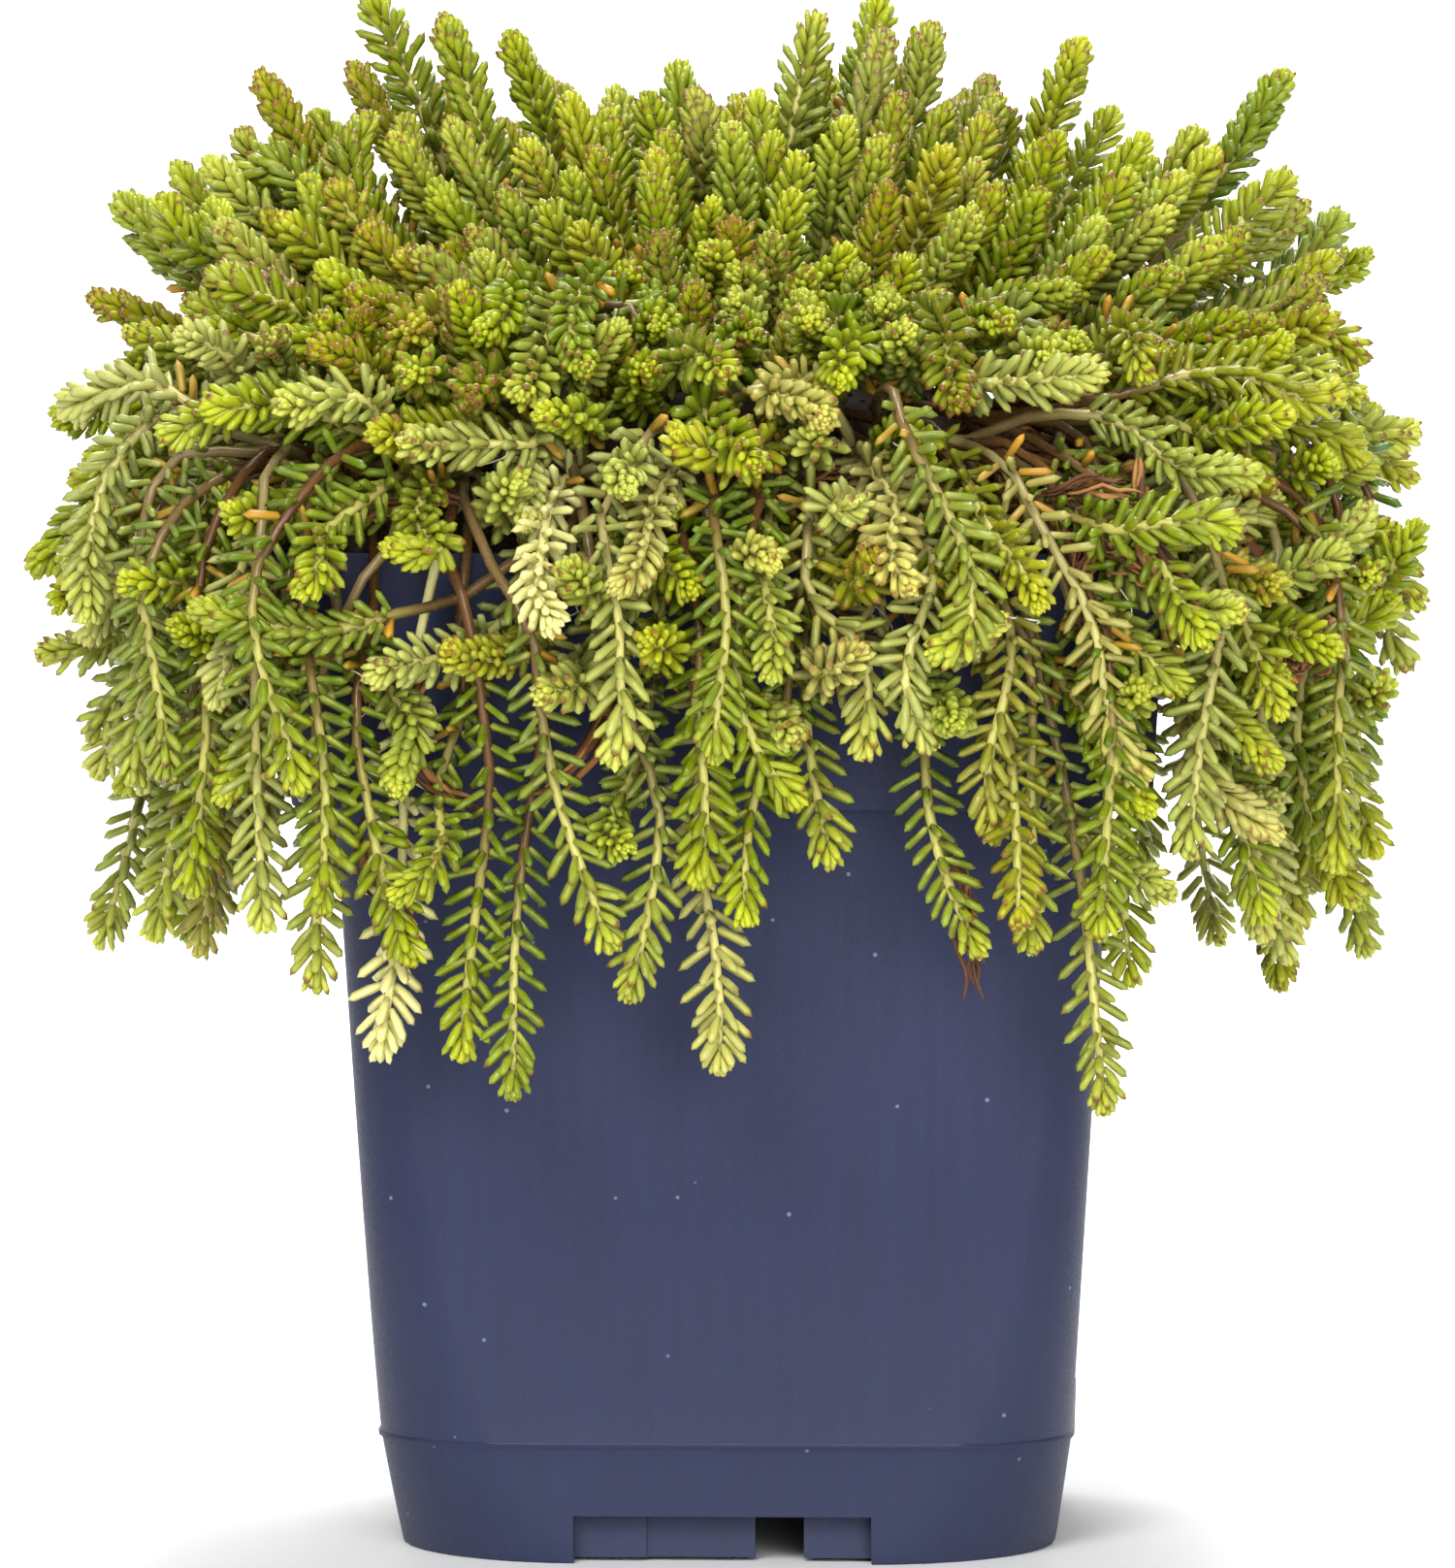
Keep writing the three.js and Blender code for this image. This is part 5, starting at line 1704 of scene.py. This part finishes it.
    def cut_drain_holes(self, piece: Piece) -> None:
        """Cuts the four drain holes in the floor."""
        s = self.sizes
        for quarter in range(4):
            angle = (quarter + 0.5) * math.pi / 2
            out = s.drain_hole_place * math.sqrt(2) * MM
            place = (out * math.cos(angle), out * math.sin(angle), (s.floor_top_z - 0.7) * MM)
            Bench.clear()
            bpy.ops.mesh.primitive_cylinder_add(
                vertices=20, radius=s.drain_hole_radius * MM, depth=4 * MM, location=place
            )
            tool = Bench.take("hole")
            Bench.settle(tool)
            self.combine(piece, tool, "DIFFERENCE")

    @staticmethod
    def smooth(piece: Piece) -> None:
        """Shades the pot smooth with its flat faces kept flat."""
        Bench.alone(piece)
        bpy.ops.object.shade_smooth_by_angle(angle=math.radians(50))
        weighted = piece.modifiers.new("flat_faces", "WEIGHTED_NORMAL")
        weighted.weight = 100
        weighted.keep_sharp = True
        Bench.apply(piece, weighted)


@dataclass
class SoilBed:
    """The soil that fills the pot, with crumbs on its mound."""

    ground: GroundPlan
    crumb: Blank
    cells: int = 72
    crumbs: int = 620

    def build(self, material: Material) -> Piece:
        """Models the soil.

        Args:
            material: Its finish.

        Returns:
            The piece's object.
        """
        cap = self.cap()
        block = self.block()
        crumbs = self.scatter(material)
        for part in (cap, block):
            Bench.paint(part, material)
        Bench.clear()
        for part in (cap, block, crumbs):
            part.select_set(True)
        bpy.context.view_layer.objects.active = cap
        bpy.ops.object.join()
        return Bench.take("soil_bed")

    def cap(self) -> Piece:
        """The mound, as a raised and roughened sheet with a closed underside."""
        ground = self.ground
        Bench.clear()
        bpy.ops.mesh.primitive_grid_add(x_subdivisions=self.cells, y_subdivisions=self.cells, size=2)
        piece = Bench.take("soil_cap")
        Bench.edit(piece)
        bpy.ops.mesh.select_mode(type="EDGE")
        bpy.ops.mesh.select_all(action="DESELECT")
        bpy.ops.mesh.select_non_manifold()
        bpy.ops.mesh.extrude_region_move(TRANSFORM_OT_translate={"value": (0, 0, -1)})
        bpy.ops.mesh.edge_face_add()
        Bench.turn_out()
        Bench.close()
        rows = np.array([vertex.co[:] for vertex in piece.data.vertices])
        x, y = self.rounded(rows[:, 0], rows[:, 1])
        share = ground.share(x, y)
        rough = 0.28 * np.sin(x * 1.9 + 2 * np.sin(y * 0.7)) * np.sin(y * 2.3 + x * 0.4)
        top = ground.mound(x, y) + rough * np.clip((1 - share) * 6, 0, 1)
        z = np.where(rows[:, 2] < -0.5, ground.edge - 3, top)
        places = np.stack([x, y, z], axis=1) * MM
        piece.data.vertices.foreach_set("co", places.astype(np.float32).ravel())
        piece.data.update()
        piece.data.polygons.foreach_set("use_smooth", np.ones(len(piece.data.polygons), dtype=bool))
        return piece

    def rounded(self, x: Array, y: Array) -> tuple[Array, Array]:
        """Turns a square from -1 to 1 into the mound's rounded square.

        Args:
            x: Places across.
            y: Places front to back.

        Returns:
            The places in millimetres.
        """
        ring = np.maximum(np.abs(x), np.abs(y))
        safe = np.maximum(ring, 1e-9)
        edge_x, edge_y = x / safe * self.ground.half, y / safe * self.ground.half
        inner = self.ground.half - self.ground.corner
        over_x, over_y = np.abs(edge_x) - inner, np.abs(edge_y) - inner
        reach = np.hypot(np.maximum(over_x, 0), np.maximum(over_y, 0))
        pull = np.where((over_x > 0) & (over_y > 0), self.ground.corner / np.maximum(reach, 1e-9), 1)
        new_x = np.where(over_x > 0, np.sign(edge_x) * (inner + over_x * pull), edge_x)
        new_y = np.where(over_y > 0, np.sign(edge_y) * (inner + over_y * pull), edge_y)
        return new_x * ring, new_y * ring

    def block(self) -> Piece:
        """The soil below the mound, down to the pot's floor."""
        s, gap = self.ground.pot, self.ground.gap
        inset = s.wall + gap
        ledge = s.collar_bottom_z + inset
        heights = (s.floor_top_z + gap, s.seam_z, 32.0, 60.0)
        sections = [Section(float(s.body_half(z)) - inset, s.body_corner(z) - inset, z) for z in heights]
        sections.append(Section(s.body_top_half - inset, s.body_corner(s.collar_bottom_z) - inset, ledge))
        sections.append(Section(float(s.collar_half(ledge)) - inset, s.collar_corner - inset, ledge + 0.02))
        sections.append(Section(self.ground.half - 0.1, self.ground.corner, self.ground.edge - 2))
        return Pot(s, corner_segments=4).skin(sections)

    def scatter(self, material: Material) -> Piece:
        """Crumbs of many sizes on the mound."""
        rng = np.random.default_rng(21)
        heap = MeshHeap("soil_crumbs")
        place = rng.uniform(-0.97, 0.97, (self.crumbs, 2))
        x, y = self.rounded(place[:, 0], place[:, 1])
        size = 0.35 + 1.1 * rng.random(self.crumbs) ** 3
        z = self.ground.mound(x, y) + size * 0.25
        turn = rng.uniform(0, 2 * math.pi, self.crumbs)
        shape = self.crumb.points[None] * size[:, None, None]
        shape = shape * rng.uniform(0.6, 1.2, (self.crumbs, 1, 3))
        cos, sin = np.cos(turn)[:, None], np.sin(turn)[:, None]
        points = np.stack(
            [
                shape[..., 0] * cos - shape[..., 1] * sin + x[:, None],
                shape[..., 0] * sin + shape[..., 1] * cos + y[:, None],
                shape[..., 2] + z[:, None],
            ],
            axis=2,
        )
        heap.add(self.crumb, points, np.zeros((1, 1, 4)), np.zeros((self.crumbs, 4)))
        return heap.build(material)


@dataclass
class StrandWorks:
    """Roots, strips of bark and dry strands, each bent along its own line."""

    ground: GroundPlan
    blank: Blank

    def strand(
        self, heap: MeshHeap, points: Array, radius: float, chance: float, flat: float = 1.0
    ) -> None:
        """Lays one strand along points.

        Args:
            heap: Where it goes.
            points: Its line.
            radius: Its thickness at the middle.
            chance: A number from 0 to 1 that picks its colour.
            flat: Its thickness one way as a share of the other.
        """
        path = Path(points)
        x, y, z = self.blank.points.T
        centre, _, normal, side = path.at(z * path.total)
        swell = radius * (0.35 + 0.65 * np.sin(np.clip(z, 0, 1) * math.pi) ** 0.5)
        places = centre + (normal * (x * flat)[:, None] + side * y[:, None]) * swell[:, None]
        heap.add(self.blank, places[None], leaf_rows(z, chance=chance), np.zeros((1, 4)))


@dataclass
class RootMat(StrandWorks):
    """The mat of brown roots on the front edge of the mound."""

    strands: int = 95

    def build(self, material: Material) -> Piece:
        """Models the mat as a wavy sheet with strands over it.

        Args:
            material: Its finish.

        Returns:
            The piece's object.
        """
        rng = np.random.default_rng(31)
        heap = MeshHeap("root_mat_fibres")
        self.sheet(heap)
        ground = self.ground
        for _ in range(self.strands):
            centre = rng.uniform(-0.8, 0.8)
            across = rng.uniform(-0.95, 0.95)
            length = rng.uniform(0.25, 0.85)
            slant = rng.normal(0, 0.35)
            s = np.clip(np.linspace(centre - length, centre + length, 9), -1.05, 1.05)
            t = across + slant * (s - centre) + 0.07 * np.sin(s * 9 + rng.uniform(0, 6))
            t = np.clip(t, -1.05, 1.05)
            x, y = ground.mat_place(s * ground.mat_half[0], t * ground.mat_half[1])
            lift = rng.uniform(-0.2, 0.8) + 0.3 * np.sin(s * 7 + rng.uniform(0, 6))
            z = ground.mat_top(x, y) + lift
            self.strand(heap, np.stack([x, y, z], axis=1), rng.uniform(0.18, 0.55), rng.random())
        return heap.build(material)

    def sheet(self, heap: MeshHeap) -> None:
        """Adds the closed sheet that the strands lie on."""
        Bench.clear()
        bpy.ops.mesh.primitive_grid_add(x_subdivisions=26, y_subdivisions=16, size=2)
        piece = Bench.take("mat_sheet")
        Bench.edit(piece)
        bpy.ops.mesh.select_mode(type="EDGE")
        bpy.ops.mesh.select_all(action="SELECT")
        bpy.ops.mesh.extrude_region_move(TRANSFORM_OT_translate={"value": (0, 0, 1)})
        blank = Bench.blank(piece)
        s, t, layer = blank.points.T
        ground = self.ground
        u = s * np.sqrt(1 - t * t / 2.4) * ground.mat_half[0]
        v = t * np.sqrt(1 - s * s / 2.4) * ground.mat_half[1]
        x, y = ground.mat_place(u, v)
        top = ground.mat_top(x, y) + 0.3 * np.sin(x * 2.7) * np.sin(y * 3.1)
        z = np.where(layer > 0.5, top, ground.bed(x, y) + ground.mat_lift)
        data = leaf_rows(np.zeros(len(s)), chance=0.25 + 0.2 * np.sin(x * 2 + y))
        heap.add(blank, np.stack([x, y, z], axis=1)[None], data, np.zeros((1, 4)))


@dataclass
class SeedHead:
    """The dried head of husks at the end of a leafy shoot."""

    husks: int = 46
    radius: float = 1.9
    height: float = 4.4

    def add(self, heap: MeshHeap, blank: Blank, shoot: Shoot) -> None:
        """Adds the husks round a shoot's tip.

        Args:
            heap: Where they go.
            blank: The husk.
            shoot: The shoot that carries them.
        """
        rng = np.random.default_rng(41)
        path = Path(shoot.line)
        share = (np.arange(self.husks) + 0.5) / self.husks
        down = share * self.height
        centre, tangent, normal, side = path.at(path.total + 0.4 - down)
        phase = np.arange(self.husks) * GOLDEN_ANGLE
        radial = normal * np.cos(phase)[:, None] + side * np.sin(phase)[:, None]
        wide = self.radius * np.sqrt(np.sin(np.clip(share + 0.05, 0, 1) * math.pi * 0.85))
        angle = np.radians(20 + 55 * share + rng.normal(0, 8, self.husks))[:, None]
        axis = tangent * np.cos(angle) + radial * np.sin(angle)
        flank = unit(np.cross(tangent * np.sin(angle) - radial * np.cos(angle), axis))
        base = centre + radial * (wide * 0.62)[:, None] - tangent * 0.5
        length = rng.uniform(1.2, 1.7, self.husks)
        width = rng.uniform(0.5, 0.72, self.husks)
        points = laid_along(blank, base, axis, flank, length, width)
        data = leaf_rows(blank.points[:, 2], chance=rng.random(self.husks)[:, None], copies=self.husks)
        heap.add(blank, points, data, np.zeros((self.husks, 4)))


@dataclass
class DryClump(StrandWorks):
    """The ball of dry, curled leaves at the end of a stem."""

    curls: int = 120
    radius: float = 4.0

    def build(self, shoot: Shoot, material: Material) -> Piece:
        """Models the clump and its stem.

        Args:
            shoot: The stem that carries it.
            material: Its finish.

        Returns:
            The piece's object.
        """
        rng = np.random.default_rng(51)
        heap = MeshHeap("dry_leaf_clump_fine")
        self.strand(heap, shoot.line, 0.9, 0.3)
        tip, tangent = shoot.line[-1], unit(shoot.line[-1] - shoot.line[-3])
        middle = tip - tangent * 3.2
        for i in range(self.curls):
            lift = 1 - 2 * (i + 0.5) / self.curls
            flat = math.sqrt(1 - lift * lift)
            around = i * GOLDEN_ANGLE
            out = np.array([flat * math.cos(around), flat * math.sin(around), lift])
            across = unit(np.cross(out, rng.normal(0, 1, 3)))
            third = np.cross(out, across)
            size = self.radius * rng.uniform(0.7, 1.0)
            turn = np.linspace(0, rng.uniform(1.6, 3.6), 7)
            curl = rng.uniform(0.6, 1.3)
            line = middle + out * size
            away = ((1 - np.cos(turn)) * curl * 0.5)[:, None]
            line = line + across * (np.sin(turn) * curl)[:, None] + out * away
            line = line + third * (turn * rng.uniform(-0.5, 0.5))[:, None]
            self.strand(heap, line, rng.uniform(0.28, 0.5), rng.random(), 0.45)
        return heap.build(material)


@dataclass
class LooseRoots(StrandWorks):
    """White thread roots and brown strips that hang among the shoots."""

    white: int = 60
    fibres: int = 11
    strips: tuple[tuple[Point, ...], ...] = (
        ((-34, -60, 115), (-38, -66, 106), (-35, -66, 99), (-28, -64, 96)),
        ((-12, -60, 113), (-14, -66, 106), (-19, -67, 100), (-25, -65, 97)),
        ((-42, -62, 95), (-43, -66, 91), (-40, -66, 86), (-37, -65, 80)),
        ((27, -62, 95), (30, -66, 87), (31, -67, 81), (32, -67, 73)),
        ((-2, -62, 114), (-1, -66, 109), (-1, -66, 101)),
        ((-46, -58, 131), (-36, -62, 134), (-26, -60, 132)),
        ((8, -60, 134), (18, -63, 137), (27, -60, 133)),
        ((-12, -58, 137), (-4, -62, 134), (4, -60, 136)),
        ((41, -62, 139), (46, -67, 131), (44, -69, 123), (46, -68, 117)),
        ((51, -61, 139), (53, -67, 130), (57, -68, 122), (58, -67, 116)),
        ((46, -64, 128), (54, -68, 125), (61, -66, 120)),
        ((38, -64, 133), (47, -68, 136), (56, -66, 134)),
    )

    def build_white(self, shoots: list[Shoot], material: Material) -> Piece:
        """White roots that hang from the stems over the rim.

        Args:
            shoots: Shoots that may carry one.
            material: Their finish.

        Returns:
            The piece's object.
        """
        rng = np.random.default_rng(61)
        heap = MeshHeap("white_roots")
        hanging = [shoot for shoot in shoots if shoot.habit is Habit.HANGING]
        for _ in range(self.white):
            shoot = hanging[int(rng.integers(len(hanging)))]
            start = shoot.line[int(rng.integers(5, 10))]
            out = outward(start)
            aside = np.cross(out, UP)
            length = rng.uniform(4, 11)
            t = np.linspace(0, 1, 8)[:, None]
            line = start + out * (t * rng.uniform(1.0, 3.5)) + aside * (t * length * rng.normal(0, 0.6))
            line = line + aside * (np.sin(t * rng.uniform(4, 9)) * rng.uniform(0.5, 2.2))
            line = line + out * (np.sin(t * rng.uniform(4, 9)) * rng.uniform(0.3, 1.2))
            line = line - UP * (t**1.3 * length * rng.uniform(0.1, 1.0))
            self.strand(heap, line, rng.uniform(0.1, 0.15), rng.random())
        return heap.build(material)

    def build_brown(self, material: Material) -> Piece:
        """Flaky strips of old bark that lie among the hanging shoots.

        Args:
            material: Their finish.

        Returns:
            The piece's object.
        """
        rng = np.random.default_rng(71)
        heap = MeshHeap("brown_root_strips")
        for points in self.strips:
            path = Path(np.array(points, float))
            for _ in range(self.fibres):
                start = rng.uniform(0, 0.55)
                end = min(start + rng.uniform(0.3, 0.6), 1.0)
                t = np.linspace(start, end, 7)
                centre, _, normal, side = path.at(t * path.total)
                wave = np.sin(t * rng.uniform(14, 30) + rng.uniform(0, 6.3))[:, None] * 0.35
                line = centre + normal * (rng.normal(0, 0.7) + wave) + side * (rng.normal(0, 0.7) - wave)
                self.strand(heap, line, rng.uniform(0.35, 0.8), rng.random(), rng.uniform(0.3, 0.6))
        return heap.build(material)


@dataclass
class Studio:
    """The pale floor, the soft lights and the camera."""

    camera_distance: float = 1399.0
    camera_aside: float = 48.9
    camera_height: float = 187.6
    pitch_degrees: float = 3.79
    yaw_degrees: float = 2.0355
    focal_pixels: float = 11300.0
    image_height: float = 1616.0
    sensor_mm: float = 36.0
    floor_half: float = 4.2
    wall_y: float = 3.6
    wall_height: float = 3.6
    sweep_radius: float = 1.3

    def build(self, paper: Material) -> None:
        """Sets up the whole studio.

        Args:
            paper: Finish of the floor.
        """
        self.floor(paper)
        self.camera()
        self.lights()

    def floor(self, paper: Material) -> None:
        """A floor that curves up into a wall behind the plant."""
        Bench.clear()
        centre = (0, self.wall_y - self.floor_half, 0)
        bpy.ops.mesh.primitive_plane_add(size=2 * self.floor_half, location=centre)
        sweep = Bench.take("floor_sweep")
        Bench.settle(sweep)
        Bench.edit(sweep)
        Bench.pick(lambda co: co.y > self.wall_y - 0.01)
        bpy.ops.mesh.extrude_region_move(TRANSFORM_OT_translate={"value": (0, 0, self.wall_height)})
        Bench.pick(lambda co: co.y > self.wall_y - 0.01 and co.z < 0.01)
        bpy.ops.mesh.bevel(offset=self.sweep_radius, segments=20, affect="EDGES")
        Bench.close()
        Bench.alone(sweep)
        bpy.ops.object.shade_smooth()
        sweep.data.materials.append(paper)

    def camera(self) -> None:
        """The camera at the photograph's viewing angle."""
        lens = bpy.data.cameras.new("camera")
        lens.sensor_width = self.sensor_mm
        lens.lens = self.focal_pixels * self.sensor_mm / self.image_height
        lens.clip_end = 20
        view = bpy.data.objects.new("camera", lens)
        view.location = (self.camera_aside * MM, -self.camera_distance * MM, self.camera_height * MM)
        view.rotation_euler = (math.radians(90 - self.pitch_degrees), 0, math.radians(self.yaw_degrees))
        bpy.context.scene.collection.objects.link(view)
        bpy.context.scene.camera = view

    def lights(self) -> None:
        """Large soft lights and an even pale surround."""
        rows = (
            ("key", (-0.35, -1.7, 1.15), (0, 0, 0.12), 0.8, 30.0),
            ("fill", (0.5, -1.7, 0.4), (0, 0, 0.07), 0.9, 19.0),
            ("top", (0.1, 0.1, 1.5), (0, 0, 0.12), 0.8, 17.0),
            ("backdrop", (0.0, 1.9, 2.6), (0, 3.3, 0.4), 2.0, 150.0),
        )
        for name, place, target, size, power in rows:
            light = bpy.data.lights.new(name, "AREA")
            light.shape = "DISK"
            light.size = size
            light.energy = power
            lamp = bpy.data.objects.new(name, light)
            lamp.location = place
            aim = Vector(target) - Vector(place)
            lamp.rotation_euler = aim.to_track_quat("-Z", "Y").to_euler()
            bpy.context.scene.collection.objects.link(lamp)
        world = bpy.data.worlds.new("surround")
        world.use_nodes = True
        background = world.node_tree.nodes["Background"]
        background.inputs["Color"].default_value = linear("ffffff")
        background.inputs["Strength"].default_value = 0.3
        bpy.context.scene.world = world
        bpy.context.scene.view_settings.view_transform = "Standard"


def place_piece(piece: Piece, slot: str, *nodes: str) -> None:
    """Fixes a piece to the plant's body and hides the nodes it stands for.

    Args:
        piece: The piece.
        slot: Not used.
        nodes: Nodes that it replaces.
    """
    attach(piece, "root")
    if nodes:
        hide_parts(*nodes)


def dress_plant(layout: PlantLayout, shop: BlankShop) -> int:
    """Makes the leafy pieces, one for each bunch.

    Args:
        layout: Where the shoots run.
        shop: Maker of the blanks.

    Returns:
        How many leaves there are.
    """
    dresser = ShootDresser(shop)
    leaf = LeafFinish().material()
    husk = FibreFinish("dry_husk", "5a3a26", "b49a78", "d8c9a8").material()
    leaves = 0
    for owner, bunch in enumerate(layout.bunches):
        if bunch.habit is Habit.DRY_CLUMP:
            continue
        heap = MeshHeap(bunch.name.replace("stem_", "shoots_"))
        for index, shoot in enumerate(layout.shoots):
            if shoot.owner != owner:
                continue
            skip = 4.2 if bunch.habit is Habit.SEED_HEAD else 0.0
            leaves += dresser.dress(heap, shoot, 1000 + index, skip)
        piece = heap.build(leaf)
        if bunch.habit is Habit.SEED_HEAD:
            piece.name = "seed_head_shoot"
            head = MeshHeap("seed_head_husks")
            own = next(shoot for shoot in layout.shoots if shoot.owner == owner)
            SeedHead().add(head, dresser.leaf_fine, own)
            husks = head.build(husk)
            place_piece(husks, "dry_seed_head")
            place_piece(piece, "dry_seed_head", bunch.name)
            continue
        slot = "upright_leaves" if bunch.habit is Habit.UPRIGHT else "hanging_leaves"
        place_piece(piece, slot, bunch.name)
    return leaves


def main() -> None:
    """Builds every sub-assembly in order and reports each piece."""
    logging.basicConfig(level=logging.INFO, format="%(name)s: %(message)s")
    cad_names = {piece.name for piece in bpy.data.objects}
    sizes = PotSizes()
    ground = GroundPlan(sizes)
    shop = BlankShop()
    Studio().build(PaperFinish().material())

    place_piece(Pot(sizes).build(PlasticFinish().material()), "pot_plastic", "pot")
    place_piece(SoilBed(ground, shop.crumb()).build(SoilFinish().material()), "potting_soil", "soil")

    layout = PlantLayout(ground)
    layout.grow()
    LOG.info("%d shoots", len(layout.shoots))
    leaves = dress_plant(layout, shop)
    LOG.info("%d leaves", leaves)

    thread = shop.stem(4, 10)
    brown = FibreFinish("brown_roots", "3a2010", "7a4a22", "c08a4c").material()
    white = FibreFinish("white_roots", "b9ad8c", "ddd5bc", "f2eee0", 0.6).material()
    dry = FibreFinish("dry_leaves", "5a3020", "a8683f", "c98f62").material()
    place_piece(RootMat(ground, thread).build(brown), "bare_roots", "root_mat")
    clump = next(shoot for shoot in layout.shoots if shoot.habit is Habit.DRY_CLUMP)
    place_piece(DryClump(ground, thread).build(clump, dry), "dry_leaves", "dried_leaf_clump")
    roots = LooseRoots(ground, thread)
    place_piece(roots.build_white(layout.shoots, white), "bare_roots")
    place_piece(roots.build_brown(brown), "bare_roots")

    total = sum(
        sum(len(face.vertices) - 2 for face in piece.data.polygons)
        for piece in bpy.data.objects
        if piece.type == "MESH" and piece.name not in cad_names
    )
    LOG.info("%d triangles in all", total)
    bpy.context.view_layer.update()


if __name__ == "__main__":
    main()
